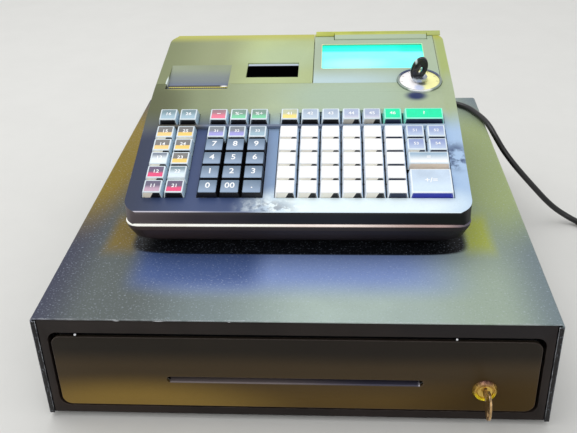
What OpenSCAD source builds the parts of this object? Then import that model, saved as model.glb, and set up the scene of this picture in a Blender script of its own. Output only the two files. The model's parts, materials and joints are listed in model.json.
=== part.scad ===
// Electronic register on a steel cash drawer.
// Frame: origin on the rest plane under the middle of the drawer case,
// +Z up, front towards -Y, +X to the right of someone at the keys.

/* [Drawer case] */
// Width of the drawer case
case_w = 410; // [390:1:440]
// Depth of the drawer case
case_d = 450; // [430:1:480]
// Height of the drawer case without its feet
case_h = 98; // [96:1:110]
// Thickness of the sheet steel
sheet = 1.2; // [1:0.1:1.6]
// Radius of the folds along the top of the cover
fold_r = 3; // [2:0.5:5]
// Height of the rubber feet under the case
foot_h = 4; // [3:0.5:8]
// Radius of the rubber feet
foot_r = 9; // [7:0.5:12]
// Width of the hem down each side of the front
hem_w = 4; // [3:0.5:6]
// Gap between the hem and the front frame
hem_gap = 0.8; // [0.5:0.1:1.2]

/* [Drawer] */
// Distance from each side of the case to the drawer front panel
panel_side = 13.5; // [12:0.5:20]
// Height of the drawer front panel
panel_h = 70; // [66:1:72]
// Thickness of the drawer front panel
panel_t = 3; // [2:0.5:4]
// Corner radius of the panel and of its opening
panel_r = 8; // [5:0.5:12]
// Gap beside the panel
panel_gap = 2.5; // [1.5:0.5:4]
// Gap above the panel
top_gap = 3.5; // [2:0.5:5]
// Width of the media slot
slot_w = 205; // [160:1:230]
// Height of the media slot
slot_h = 6; // [5:0.5:8]
// Room behind the drawer pan for the latch and the spring
pan_room = 39; // [36:1:60]
// Height of the sides of the drawer pan
pan_h = 64; // [60:1:66]
// Travel of the drawer
drawer_travel = 300; // [200:10:320]
// Height of the slide rails
rail_h = 22; // [18:1:26]

/* [Cash tray] */
// Number of note compartments, and of coin cups
bays = 5; // [4:1:6]
// Depth of the cash tray from front to back
tray_d = 330; // [300:5:350]
// Height of the cash tray
tray_h = 35; // [30:1:37]
// Front to back depth of the coin cups
cup_d = 112; // [90:2:130]
// Wall of the cash tray
tray_wall = 2; // [1.6:0.2:3]

/* [Lock] */
// Distance of the lock from the middle of the panel
lock_x = 151; // [120:1:165]
// Radius of the lock flange
lock_r = 10; // [9:0.5:12]
// Radius of the turning plug
plug_r = 6; // [5:0.5:7]

/* [Register body] */
// Width of the register body
body_w = 293; // [285:1:300]
// Front edge of the keyboard deck
deck_front_y = -140; // [-160:1:-120]
// Height of the keyboard deck above the drawer case, at its front edge
deck_front_h = 45.8; // [42:0.1:55]
// Slope of the keyboard deck
deck_angle = 17.1; // [12:0.1:20]
// Slope of the rear deck
rear_angle = 9.8; // [6:0.1:12]
// Where the keyboard deck starts to bend
bend_front_y = -16; // [-18:1:-12]
// Where the bend ends and the rear deck starts
bend_back_y = 30; // [24:1:34]
// Back of the register body
back_y = 132; // [125:1:150]
// Wall of the plastic housings
wall = 3; // [2.5:0.1:3.5]
// Corner radius of the body in plan, at the front
corner_r = 15; // [8:1:24]
// Height of the parting line above the lower housing's base
part_h = 26; // [22:0.5:28]
// Gap between the drawer case and the lower housing
body_gap = 6; // [5:0.5:10]

/* [Keys] */
// Pitch of the key columns
col_pitch = 19; // [18.5:0.1:19.5]
// Pitch of the key rows
row_pitch = 17.6; // [17:0.1:18]
// Extra gap in front of the top row
top_row_gap = 4.7; // [3:0.1:6]
// Width of a key top
cap_w = 15.4; // [14:0.1:16]
// Depth of a key top
cap_d = 14.8; // [13:0.1:15]
// Height of the key tops above the deck
cap_rise = 6; // [5:0.1:8]
// How far a key goes down
key_travel = 3.5; // [2:0.1:4]
// From the front edge of the deck to the first row of keys
first_row = 26.1; // [24:0.1:28]

/* [Display and mode lock] */
// Width of the display panel
display_w = 125.4; // [110:0.2:128]
// Depth of the display panel along the rear deck
display_d = 97; // [85:1:98]
// Radius of the ring around the mode lock
ring_r = 21.8; // [18:0.2:23]
// Width of the chrome of that ring
ring_wall = 2.2; // [1.5:0.1:3]
// Distance of the mode lock from the middle
mode_x = 115; // [105:1:116]
// Travel of the customer display
popup_travel = 55; // [40:1:60]

/* [Printer] */
// Width of the paper
paper_w = 58; // [57:0.5:58]
// Radius of a full paper roll
roll_r = 32; // [20:1:33]

/* [Mains lead] */
// Diameter of the mains lead
cord_d = 6.5; // [5:0.1:7]

/* [Hidden] */

// Clearances: still parts, running shafts, and moving parts
fit = 0.3;
run = 0.06;
move = 0.6;
// Overshoot of cuts
eps = 1;

// Drawer case
case_top = foot_h + case_h;
front_y = -case_d / 2;
rear_y = case_d / 2;
side_x = case_w / 2;
inside_x = side_x - sheet;
floor_z = foot_h + sheet;
frame_x = side_x - hem_w - hem_gap;
frame_y = front_y + 0.4;
frame_flange = 12;
base_lip = 9;
panel_w = case_w - 2 * panel_side;
panel_z = foot_h + 10.5;
open_w = panel_w + 2 * panel_gap;
open_z = panel_z - 1.5;
open_h = panel_h + 1.5 + top_gap;

// Drawer pan, its rails and its ledges
pan_x = open_w / 2 - 6;
pan_y = front_y + panel_t;
pan_z = open_z + 1.8;
pan_d = case_d - panel_t - pan_room;
pan_back = pan_y + pan_d;
rail_z = pan_z + 19.2;
rail_t = 1.4;
rail_len = case_d - 60;
rail_y = front_y + 18;
rail_in_x = pan_x + 4.6;
roller_r = rail_h / 2 - rail_t - 1.8;
roller_x = pan_x + rail_t + move;
roller_w = inside_x - rail_t - fit - roller_x;
flange_w = open_w / 2 - 0.8 - pan_x;
rear_roller_y = pan_back - roller_r - 4;
ledge_z = pan_z + 30.4;
ledge_w = 8;
slot_z = panel_z + 27.5;
lock_z = panel_z + 22;

// Cash tray
tray_x = pan_x - sheet - fit;
tray_y = pan_y + sheet + 6;
tray_z = ledge_z + sheet;
bay_w = (2 * tray_x - tray_wall * (bays + 1)) / bays;
rod_r = 2;
rod_y = tray_y + tray_d - 14;
rod_z = tray_z + tray_h - 7;
clip_len = 96;
clip_w = 22;
hub_r = 4;
tip_r = 3;
clip_drop = asin((rod_z - tray_z - tray_wall - tip_r - fit) / clip_len);

// Latch
latch_y = pan_back + 19;
latch_z = 58;
latch_pin_r = 2;
latch_tooth = 15;

// Lock
flange_t = 3;
cam_len = 25;
cam_t = 2;
cam_y = frame_y + frame_flange + 1;

// Register body
body_z = case_top + body_gap;
part_z = body_z + part_h;
deck_front_z = case_top + deck_front_h;
half_w = body_w / 2;
bend_len = bend_back_y - bend_front_y;
bend_z = deck_front_z + (bend_front_y - deck_front_y) * tan(deck_angle);
rear_z = bend_z + bend_len * (tan(deck_angle) + tan(rear_angle)) / 2;
edge_r = 3;
rear_edge_r = 7;
front_lean = 2.5;
bead_h = 3;

// Height of the top of the body at a given place
function top_z(y) =
    y < bend_front_y ? deck_front_z + (y - deck_front_y) * tan(deck_angle)
    : y > bend_back_y ? rear_z + (y - bend_back_y) * tan(rear_angle)
    : bend_z + (y - bend_front_y) * tan(deck_angle)
        - (tan(deck_angle) - tan(rear_angle)) * pow(y - bend_front_y, 2) / (2 * bend_len);

// Keys
key_side = 1.3;
key_front = 1;
cap_wall = 1.4;
skirt_drop = 1;
stem = 6;
stem_drop = 9;
plate_drop = skirt_drop + key_travel + 1;
plate_t = 2;
group_gap = 1.5;
left_x = -6.5 * col_pitch;
number_x = left_x + (1 + group_gap) * col_pitch;
dept_x = number_x + (2 + group_gap) * col_pitch;
right_x = dept_x + 6 * col_pitch;
top_row = 5;
function col_x(start, i) = start + i * col_pitch;
function row_s(r) = first_row + r * row_pitch + (r >= top_row ? top_row_gap : 0);

// Rear deck: places along it are measured from the end of the bend
display_x = 10.6;
display_s = 1;
display_t = 1.6;
lcd_x = 18;
lcd_w = 105.7;
lcd_s = 29.2;
lcd_d = 51.6;
lcd_t = 6;
mode_s = 4;
ring_rise = 1.6;
post_r = 5;
popup_x = 80.5;
popup_w = 98;
popup_t = 9;
popup_h = popup_travel + 19;
popup_rise = 2.5;
popup_y = back_y - wall - fit - popup_t / 2;

// Printer bay
cover_right = display_x - 0.9;
cover_front = bend_back_y + 1;
cover_t = 2.5;
cover_gap = 0.5;
cover_skirt = 22;
skirt_lean = 12;
hinge_y = back_y - rear_edge_r;
hinge_z = top_z(hinge_y) - rear_edge_r;
pin_r = 2;
lug_w = 6;
ear_t = 3;
lug_x = [-125, cover_right - 12];
receipt_x = -105;
journal_x = -33;
roll_y = 90;
chassis_z = body_z + 9;
roll_z = chassis_z + roll_r + 5;
core_r = 6;
platen_y = 43;
platen_z = chassis_z + 64;
platen_r = 6;
reel_y = 60;
reel_z = chassis_z + 67.5;
reel_r = 10;
reel_core = 5;
shaft_r = 2;
cheek_t = 2;
cheek_x = [receipt_x - paper_w / 2 - 4, (receipt_x + journal_x) / 2 - 1, journal_x + paper_w / 2 + 2];
scoop_w = 62;
scoop_d = 38;
scoop_deep = 6;
scoop_angle = atan(scoop_deep / (scoop_d - 1));
paper_slot = 6;
window_x = -31.2;
window_w = 52.6;
window_s = 12.7;
window_d = 29.4;

// Mains lead: route of its middle from the housing to the coil
cord_z = case_top + cord_d / 2;
floor_cord_z = cord_d / 2;
cord_sides = 8;
cord_exit = [118, back_y, body_z + 10];
relief_len = 32;
cord_route = [
    [118, 164, 116], [120, 176, 112], [127, 190, 107], [138, 200, 105.3],
    [153, 205, 105.3], [168, 203, 105.3], [181, 195, 105.3], [191, 184, 105.3],
    [198, 168, 105.3], [204, 149, 105.3], [208, 134, 103.5], [213, 119, 97],
    [220, 108, 87], [229, 101, 76], [242, 98, 61], [260, 97, 41],
    [273, 97, 27], [285, 96, 16.5], [298, 92.5, 8.8], [309.5, 85, 4.8],
    [317, 74, 3.6], [320, 60, 3.3], [319.5, 42, 3.3]
];
coil_turns_wide = 3;
coil_layers = 2;
coil_mid_r = 33;
coil_x = 358;
coil_y = 24;

// ---------- shared shapes ----------

module rounded_rect(w, d, r) {
    square([w - 2 * r, d], center = true);
    square([w, d - 2 * r], center = true);
    for (x = [-1, 1], y = [-1, 1])
        translate([x * (w / 2 - r), y * (d / 2 - r)]) circle(r = r, $fn = 32);
}

// A plate standing across the front, its face towards -Y
module front_plate(w, h, r, t) {
    rotate([90, 0, 0]) translate([0, 0, -t]) linear_extrude(t) rounded_rect(w, h, r);
}

module x_cylinder(r, len) {
    rotate([0, 90, 0]) cylinder(r = r, h = len, center = true, $fn = 48);
}

module y_cylinder(r, len) {
    rotate([-90, 0, 0]) cylinder(r = r, h = len, $fn = 48);
}

// Moves children onto the keyboard deck: x, distance up the slope, height above it
module on_deck(x, s, n = 0) {
    translate([0, deck_front_y, deck_front_z]) rotate([deck_angle, 0, 0]) translate([x, s, n]) children();
}

// The same on the rear deck
module on_rear(x, s, n = 0) {
    translate([0, bend_back_y, rear_z]) rotate([rear_angle, 0, 0]) translate([x, s, n]) children();
}

// ---------- drawer case ----------

module cover_profile(inset) {
    intersection() {
        rounded_rect(case_w - 2 * inset, 2 * (case_h - inset), max(fold_r - inset, 0.5));
        translate([-case_w, 0]) square([2 * case_w, case_h]);
    }
}

module case_cover() {
    color([0.13, 0.13, 0.15]) {
        difference() {
            translate([0, rear_y, foot_h]) rotate([90, 0, 0]) linear_extrude(case_d) cover_profile(0);
            translate([0, rear_y - sheet, foot_h]) rotate([90, 0, 0]) linear_extrude(case_d)
                union() {
                    cover_profile(sheet);
                    translate([-inside_x, -eps]) square([2 * inside_x, case_h / 2]);
                }
        }
        for (side = [-1, 1])
            translate([side * (side_x - sheet / 2 - hem_w / 2), front_y + sheet / 2, foot_h + (case_h - fold_r) / 2])
                cube([hem_w - sheet, sheet, case_h - fold_r], center = true);
    }
}

module front_frame() {
    frame_h = case_h - 2 * sheet - 0.4;
    mid_z = foot_h + sheet + 0.2 + frame_h / 2;
    open_mid_z = open_z + open_h / 2;
    color([0.15, 0.14, 0.14])
        difference() {
            union() {
                translate([0, frame_y, mid_z]) front_plate(2 * frame_x, frame_h, 1.5, sheet);
                translate([0, frame_y, open_mid_z])
                    front_plate(open_w + 2 * sheet, open_h + 2 * sheet, panel_r + sheet, frame_flange);
            }
            translate([0, frame_y - eps, open_mid_z])
                front_plate(open_w, open_h, panel_r, frame_flange + 2 * eps);
        }
}

module case_base() {
    base_y = frame_y + sheet;
    base_d = rear_y - sheet - base_y;
    lip_x = inside_x - fit;
    color([0.16, 0.16, 0.17]) {
        translate([-lip_x, base_y, foot_h]) cube([2 * lip_x, base_d, sheet]);
        translate([-frame_x, base_y, floor_z]) cube([2 * frame_x, sheet, open_z - floor_z - sheet - 0.4]);
        for (side = [-1, 1])
            translate([side * (lip_x - sheet / 2) - sheet / 2, base_y, floor_z]) cube([sheet, base_d, base_lip]);
        translate([-lip_x, rear_y - 2 * sheet, floor_z]) cube([2 * lip_x, sheet, base_lip]);
    }
}

module rubber_feet() {
    color([0.08, 0.08, 0.08]) {
        for (x = [-1, 1], y = [-1, 1])
            translate([x * (side_x - 35), y * (rear_y - 35), 0]) {
                cylinder(r1 = foot_r - 1, r2 = foot_r, h = 1.5, $fn = 48);
                translate([0, 0, 1.5]) cylinder(r = foot_r, h = foot_h - 1.5, $fn = 48);
            }
        for (x = [-1, 1], y = [deck_front_y + 50, back_y - 40])
            translate([x * (half_w - 34), y, case_top]) cylinder(r = foot_r, h = body_gap, $fn = 48);
    }
}

module rail_channel() {
    translate([inside_x - rail_t, rail_y, rail_z]) cube([rail_t, rail_len, rail_h]);
    for (z = [0, rail_h - rail_t])
        translate([rail_in_x, rail_y, rail_z + z]) cube([inside_x - rail_in_x, rail_len, rail_t]);
}

// Channels on the case, each with a front roller and a stop for the drawer's rear roller
module case_rails() {
    roller_y = rail_y + roller_r + 2;
    roller_z = rail_z + rail_t + roller_r + 0.8;
    stop_x = pan_x + flange_w + 2;
    stop_y = rear_roller_y - drawer_travel - roller_r - 2.5;
    color([0.62, 0.63, 0.65])
        for (side = [0, 1]) mirror([side, 0, 0]) {
            rail_channel();
            translate([(roller_x + inside_x) / 2, roller_y, roller_z]) x_cylinder(3, inside_x - roller_x);
            translate([roller_x + roller_w / 2, roller_y, roller_z]) x_cylinder(roller_r, roller_w);
            translate([stop_x, stop_y, rail_z]) cube([inside_x - stop_x, 2, rail_h]);
        }
}

module latch_solenoid() {
    bracket_w = 60;
    bracket_y = latch_y - 6;
    bracket_d = rear_y - 4 - bracket_y;
    color([0.55, 0.56, 0.58]) {
        translate([-bracket_w / 2, bracket_y, floor_z]) cube([bracket_w, bracket_d, sheet]);
        for (x = [-6 - 2, 6])
            translate([x, bracket_y, floor_z]) cube([2, 16, latch_z + 6 - floor_z]);
        translate([0, latch_y, latch_z]) x_cylinder(latch_pin_r, 16);
        translate([22, bracket_y + 2, floor_z + sheet]) cube([6, 16, 30]);
    }
    color([0.75, 0.55, 0.2])
        translate([-24, latch_y + 2, floor_z + sheet]) {
            cylinder(r = 9, h = 26, $fn = 48);
            cylinder(r = 3, h = 31, $fn = 48);
        }
}

module latch_lever() {
    tooth_drop = 4.8;
    color([0.7, 0.7, 0.72])
        translate([0, latch_y, latch_z])
            difference() {
                union() {
                    x_cylinder(5, 5);
                    translate([-2, -latch_tooth, 1]) cube([4, latch_tooth, 4]);
                    translate([-2, -latch_tooth, -tooth_drop]) cube([4, 3, tooth_drop + 2]);
                }
                x_cylinder(latch_pin_r + run, 8);
            }
}

// Coil spring on its guide rod, pressing on the back of the drawer
module eject_spring() {
    turns = 6;
    wire_r = 1;
    coil_r = 6.5;
    steps = 14;
    section = 6;
    spring_len = rear_y - sheet - pan_back - 6;
    rings = turns * steps;
    pts = [for (i = [0:rings], k = [0:section - 1])
        let (a = 360 * i / steps, b = 360 * k / section, r = coil_r + wire_r * cos(b))
            [r * cos(a), wire_r + (spring_len - 2 * wire_r) * i / rings + wire_r * sin(b), r * sin(a)]];
    sides = [for (i = [0:rings - 1], k = [0:section - 1])
        let (n = (k + 1) % section)
            [i * section + k, (i + 1) * section + k, (i + 1) * section + n, i * section + n]];
    ends = [[for (k = [0:section - 1]) k], [for (k = [section - 1:-1:0]) rings * section + k]];
    color([0.7, 0.7, 0.72])
        translate([60, pan_back + fit, 40]) polyhedron(points = pts, faces = concat(sides, ends), convexity = 8);
    color([0.55, 0.56, 0.58]) {
        translate([60, pan_back + 4, 40]) y_cylinder(4, rear_y - sheet - pan_back - 4);
        translate([60, rear_y - sheet - 6 + fit, 40]) y_cylinder(9, 6 - fit);
    }
}

// ---------- drawer ----------

module slot_cut(len) {
    translate([0, 0, slot_z]) rotate([-90, 0, 0]) linear_extrude(len) rounded_rect(slot_w, slot_h, slot_h / 2 - 0.1);
}

module drawer_front() {
    color([0.2, 0.17, 0.15])
        difference() {
            translate([0, front_y, panel_z + panel_h / 2]) front_plate(panel_w, panel_h, panel_r, panel_t);
            translate([0, front_y - eps, 0]) slot_cut(panel_t + 2 * eps);
            translate([lock_x, front_y - eps, lock_z]) y_cylinder(lock_r - 2, panel_t + 2 * eps);
        }
}

module drawer_pan() {
    color([0.5, 0.51, 0.53])
        difference() {
            union() {
                difference() {
                    translate([-pan_x, pan_y, pan_z]) cube([2 * pan_x, pan_d, pan_h]);
                    translate([-pan_x + sheet, pan_y + sheet, pan_z + sheet])
                        cube([2 * (pan_x - sheet), pan_d - 2 * sheet, pan_h]);
                }
                for (side = [0, 1]) mirror([side, 0, 0])
                    translate([pan_x - sheet - ledge_w, tray_y, ledge_z]) cube([ledge_w, tray_d, sheet]);
            }
            translate([0, pan_y - eps, 0]) slot_cut(sheet + 2 * eps);
            translate([lock_x, pan_y - eps, lock_z]) y_cylinder(lock_r - 2, sheet + 2 * eps);
            translate([lock_x - 6, cam_y - 2, pan_z - eps]) cube([24, cam_t + 4, sheet + 2 * eps]);
        }
}

module drawer_rails() {
    bar_z = rail_z + rail_t + 1;
    flange_t = 0.9;
    flange_z = rail_z + rail_t + 2 * roller_r + 0.8 + fit;
    color([0.62, 0.63, 0.65])
        for (side = [0, 1]) mirror([side, 0, 0]) {
            translate([pan_x, pan_y + 14, bar_z]) cube([rail_t, pan_d - 18, flange_z + flange_t - bar_z]);
            translate([pan_x, pan_y + 14, flange_z]) cube([flange_w, pan_d - 18, flange_t]);
            translate([pan_x + rail_t + 2, rear_roller_y, rail_z + rail_h / 2]) x_cylinder(3, 6);
            translate([roller_x + roller_w / 2, rear_roller_y, rail_z + rail_h / 2]) x_cylinder(roller_r, roller_w);
        }
    striker();
}

// Angle on the back of the pan that the latch holds
module striker() {
    striker_w = 10;
    reach = 14;
    color([0.62, 0.63, 0.65])
        translate([-striker_w / 2, pan_back, latch_z - 14]) {
            cube([striker_w, reach, 2]);
            translate([0, reach - 2, 0]) cube([striker_w, 2, 8]);
        }
}

module coin_cup() {
    depth = tray_h - tray_wall;
    scoop_r = 60;
    translate([-bay_w / 2, 0, 0]) rotate([90, 0, 90]) linear_extrude(bay_w)
        intersection() {
            translate([0, tray_wall]) square([cup_d - tray_wall, depth + eps]);
            translate([(cup_d - tray_wall) / 2, tray_wall + scoop_r]) union() {
                circle(r = scoop_r, $fn = 96);
                translate([-cup_d / 2, 0]) square([cup_d, scoop_r]);
            }
        }
}

module cash_tray() {
    note_d = tray_d - cup_d - 2 * tray_wall;
    color([0.17, 0.17, 0.18]) {
        difference() {
            translate([-tray_x, tray_y, tray_z]) cube([2 * tray_x, tray_d, tray_h]);
            for (i = [0:bays - 1]) {
                x = -tray_x + tray_wall + bay_w / 2 + i * (bay_w + tray_wall);
                translate([x, tray_y + tray_wall, tray_z]) coin_cup();
                translate([x - bay_w / 2, tray_y + cup_d + tray_wall, tray_z + tray_wall])
                    cube([bay_w, note_d, tray_h]);
                translate([x - bay_w / 4, tray_y + tray_d - tray_wall - eps, tray_z + 18])
                    cube([bay_w / 2, tray_wall + 2 * eps, tray_h]);
            }
        }
        translate([0, rod_y, rod_z]) x_cylinder(rod_r, 2 * tray_x - 1);
    }
}

module bill_clips() {
    color([0.1, 0.1, 0.1])
        for (i = [0:bays - 1])
            translate([-tray_x + tray_wall + bay_w / 2 + i * (bay_w + tray_wall), rod_y, rod_z])
                difference() {
                    union() {
                        x_cylinder(hub_r, clip_w);
                        rotate([clip_drop, 0, 0]) {
                            translate([1 - clip_w / 2, -clip_len, -1]) cube([clip_w - 2, clip_len - rod_r, 2]);
                            translate([0, -clip_len, 0]) x_cylinder(tip_r, clip_w);
                        }
                    }
                    x_cylinder(rod_r + run, clip_w + 2);
                }
}

module lock_barrel() {
    color([0.8, 0.65, 0.3])
        translate([lock_x, 0, lock_z])
            difference() {
                union() {
                    translate([0, front_y - flange_t, 0]) rotate([-90, 0, 0])
                        cylinder(r1 = lock_r - 1.5, r2 = lock_r, h = flange_t, $fn = 48);
                    translate([0, front_y, 0]) y_cylinder(lock_r - 2 - fit / 2, cam_y - fit - front_y);
                }
                translate([0, front_y - flange_t - eps, 0]) y_cylinder(plug_r + run, cam_y - front_y + flange_t + 2 * eps);
            }
}

// Turning plug with the cam that drops behind the front frame
module lock_plug() {
    plug_front = front_y - flange_t + 0.6;
    color([0.85, 0.7, 0.35])
        difference() {
            union() {
                translate([lock_x, plug_front, lock_z]) y_cylinder(plug_r, cam_y - plug_front);
                translate([lock_x, cam_y, lock_z]) y_cylinder(plug_r, cam_t);
                translate([lock_x, cam_y, lock_z - 4]) cube([cam_len, cam_t, 8]);
            }
            translate([lock_x - 1.2, plug_front - eps, lock_z - 4.2]) cube([2.4, 16, 8.4]);
        }
}

module drawer_key() {
    blade_y = front_y - flange_t + 0.6;
    neck = 7;
    bow_w = 20;
    bow_h = 24;
    color([0.78, 0.6, 0.4])
        translate([lock_x, 0, lock_z]) {
            translate([-0.9, blade_y - neck, -3.5]) cube([1.8, neck + 12, 7]);
            translate([0.9, blade_y - neck - bow_w / 2 + 2, -4]) rotate([0, -90, 0])
                linear_extrude(1.8)
                    difference() {
                        scale([bow_h / bow_w, 1]) circle(r = bow_w / 2, $fn = 48);
                        translate([-5, -4]) circle(r = 2.6, $fn = 24);
                    }
        }
}

// ---------- register body ----------

function arc_points(cy, cz, r, a0, a1, steps) =
    [for (i = [0:steps]) let (a = a0 + (a1 - a0) * i / steps) [cy + r * cos(a), cz + r * sin(a)]];

// Side profile of the upper housing, as points in Y and Z
function body_profile(inset) =
    let (
        drop = inset / cos(deck_angle),
        fy = deck_front_y + inset,
        by = back_y - inset,
        r1 = max(edge_r - inset, 0.4),
        r2 = max(rear_edge_r - inset, 0.8),
        base = part_z - (inset > 0 ? eps : 0)
    )
    concat(
        [[fy + front_lean, base]],
        arc_points(fy + r1, top_z(fy + r1) - drop - r1 * (1 - sin(deck_angle)) - 0.2, r1, 180, 90 + deck_angle, 4),
        [for (i = [1:3]) let (y = fy + (bend_front_y - fy) * i / 3) [y, top_z(y) - drop]],
        [for (i = [1:6]) let (y = bend_front_y + bend_len * i / 6) [y, top_z(y) - drop]],
        arc_points(by - r2, top_z(by - r2) - drop - r2, r2, 90, 0, 4),
        [[by, base]]
    );

module body_plan(inset) {
    depth = back_y - deck_front_y;
    mid = (back_y + deck_front_y) / 2;
    r1 = corner_r - inset;
    hx = half_w - inset;
    translate([0, mid]) union() {
        translate([-hx, -depth / 2 + inset + r1]) square([2 * hx, depth - 2 * inset - 2 * r1]);
        translate([-hx + r1, -depth / 2 + inset]) square([2 * (hx - r1), depth - 2 * inset]);
        for (x = [-1, 1], y = [-1, 1])
            translate([x * (hx - r1), y * (depth / 2 - inset - r1)]) circle(r = r1, $fn = 48);
    }
}

module body_solid(inset) {
    intersection() {
        rotate([90, 0, 90]) linear_extrude(body_w - 2 * inset, center = true) polygon(body_profile(inset));
        translate([0, 0, body_z]) linear_extrude(140) body_plan(inset);
    }
}

module key_window(start, cols, r0, rows) {
    x0 = start - col_pitch / 2;
    s0 = row_s(r0) - row_pitch / 2;
    on_deck(x0, s0, -8) cube([cols * col_pitch, rows * row_pitch, 20]);
}

module key_windows() {
    key_window(left_x, 2, 0, 5);
    key_window(left_x, 2, top_row, 1);
    key_window(number_x, 3, 0, 5);
    key_window(number_x, 3, top_row, 1);
    key_window(dept_x, 8, 0, 5);
    key_window(dept_x, 8, top_row, 1);
}

// Outline of the printer cover seen from the side, grown by a gap all round
module cover_side(gap) {
    above = top_z(back_y) + 20;
    offset(delta = gap) union() {
        polygon([
            [cover_front, above], [cover_front, top_z(cover_front) - cover_t],
            [cover_front + skirt_lean, top_z(cover_front + skirt_lean) - cover_skirt],
            [hinge_y, top_z(hinge_y) - cover_skirt], [hinge_y, above]
        ]);
        translate([hinge_y, hinge_z]) circle(r = rear_edge_r, $fn = 64);
    }
}

module cover_prism(x1, gap) {
    x0 = -half_w - 5;
    translate([x0, 0, 0]) rotate([90, 0, 90]) linear_extrude(x1 - x0) cover_side(gap);
}

// Everything taken out of the upper housing for the printer cover
module cover_space() {
    x0 = -half_w - 5;
    cover_prism(cover_right + cover_gap, cover_gap);
    translate([x0, hinge_y, hinge_z]) cube([cover_right + cover_gap - x0, 20, 40]);
}

// Ear with the pin that a lug of the printer cover turns on; dir points from the ear to the lug
module hinge_ear(x, dir) {
    ear_x = x - dir * (lug_w / 2 + cover_gap + ear_t / 2);
    pin_len = ear_t + cover_gap + lug_w;
    wall_y = back_y - wall - hinge_y + 0.5;
    translate([ear_x, hinge_y, hinge_z]) rotate([90, 0, 90]) linear_extrude(ear_t, center = true) {
        circle(r = 3.8, $fn = 32);
        rotate(-155) translate([0, -2]) square([12, 4]);
        polygon([[-14, -3], [-9, -5], [-9, -20], [wall_y, -20], [wall_y, -24], [-14, -24]]);
    }
    translate([ear_x + dir * (pin_len - ear_t) / 2, hinge_y, hinge_z]) x_cylinder(pin_r, pin_len);
}

module upper_case() {
    color([0.2, 0.21, 0.22]) {
        difference() {
            body_solid(0);
            body_solid(wall);
            key_windows();
            cover_space();
            // receipt slot and its sloping lip
            translate([receipt_x - scoop_w / 2, cover_front - paper_slot, 150]) cube([scoop_w, paper_slot + 5, 80]);
            on_rear(receipt_x - scoop_w / 2, cover_front - bend_back_y - paper_slot - 4, -0.8)
                rotate([-30, 0, 0]) cube([scoop_w, 8, 10]);
            // display panel recess and window
            on_rear(display_x - 0.6, display_s - fit, -display_t)
                cube([display_w + 0.6 + fit, display_d + 2 * fit, 10]);
            on_rear(lcd_x - 3, lcd_s - 3, -10) cube([lcd_w + 6, lcd_d + 6, 20]);
            // mode lock
            on_rear(mode_x, mode_s, -15) cylinder(r = post_r + 6, h = 30, $fn = 48);
            on_rear(mode_x, mode_s, -display_t) cylinder(r = ring_r + fit, h = 10, $fn = 64);
            // customer display
            popup_slot();
            // mains lead
            translate([cord_exit[0], back_y - 10, cord_exit[2]]) y_cylinder(6, 20);
            // vents in the back
            for (i = [0:9])
                translate([-60 + i * 9, back_y - wall - eps, part_z + 14]) cube([4, wall + 2 * eps, 26]);
        }
        popup_guide();
        hinge_ear(lug_x[0], -1);
        hinge_ear(lug_x[1], 1);
    }
}

module popup_slot() {
    translate([popup_x - popup_w / 2 - move, popup_y - popup_t / 2 - move, part_z])
        cube([popup_w + 2 * move, popup_t + 2 * move, 120]);
}

// Guide walls round the customer display, under the deck
module popup_guide() {
    guide_t = 1.6;
    guide_z = part_z + 8;
    top = top_z(popup_y - popup_t / 2 - move - guide_t) - wall;
    w = popup_w + 2 * move;
    translate([popup_x - w / 2 - guide_t, popup_y - popup_t / 2 - move - guide_t, guide_z])
        difference() {
            cube([w + 2 * guide_t, popup_t + 2 * move + guide_t, top - guide_z]);
            translate([guide_t, guide_t, -eps]) cube([w, popup_t + 2 * move + guide_t, 100]);
        }
}

module tray_slab(hx, fy, by, r, z) {
    translate([0, (fy + by) / 2, z]) linear_extrude(0.1) offset(r = r, $fn = 32)
        square([2 * hx - 2 * r, by - fy - 2 * r], center = true);
}

module lower_solid(inset, z0) {
    top = part_z - bead_h;
    hull() {
        tray_slab(half_w - 11 - inset, deck_front_y + 22 + inset, back_y - 8 - inset, 22 - inset, z0);
        tray_slab(half_w - 4.5 - inset, deck_front_y + 11 + inset, back_y - 3 - inset, 20 - inset, body_z + 9);
        tray_slab(half_w - 1 - inset, deck_front_y + 3.5 + inset, back_y - 1 - inset, 17 - inset, top - 0.1);
    }
}

module lower_case() {
    boss_h = 5;
    color([0.16, 0.14, 0.14]) {
        difference() {
            lower_solid(0, body_z);
            lower_solid(wall, body_z + wall);
            translate([0, 0, part_z - bead_h - 0.2]) linear_extrude(2) body_plan(wall + 1);
            for (i = [0:7])
                translate([30 + i * 10, -60, body_z - eps]) cube([4, 50, wall + 2 * eps]);
            translate([cord_exit[0], back_y - 20, cord_exit[2]]) y_cylinder(6, 30);
        }
        // rim that carries the upper housing
        translate([0, 0, part_z - bead_h]) linear_extrude(bead_h)
            difference() {
                body_plan(0);
                body_plan(wall);
            }
        for (x = [30, 126], y = [-95, 100])
            translate([x, y, body_z + wall - 0.1]) cylinder(r = 4, h = boss_h + 0.1, $fn = 24);
    }
}

module main_board() {
    board_z = body_z + wall + 5;
    board_x = 20;
    board_y = deck_front_y + 32;
    board_w = half_w - 10.5 - board_x;
    board_d = back_y - 22 - board_y;
    color([0.1, 0.35, 0.2]) translate([board_x, board_y, board_z]) cube([board_w, board_d, 1.6]);
    color([0.2, 0.2, 0.22]) {
        translate([40, -20, board_z + 1.6]) cube([28, 28, 3]);
        translate([84, 30, board_z + 1.6]) cube([40, 34, 26]);
        for (i = [0:2]) translate([50 + 14 * i, -70, board_z + 1.6]) cylinder(r = 5, h = 14, $fn = 24);
    }
}

// ---------- keys ----------

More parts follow.
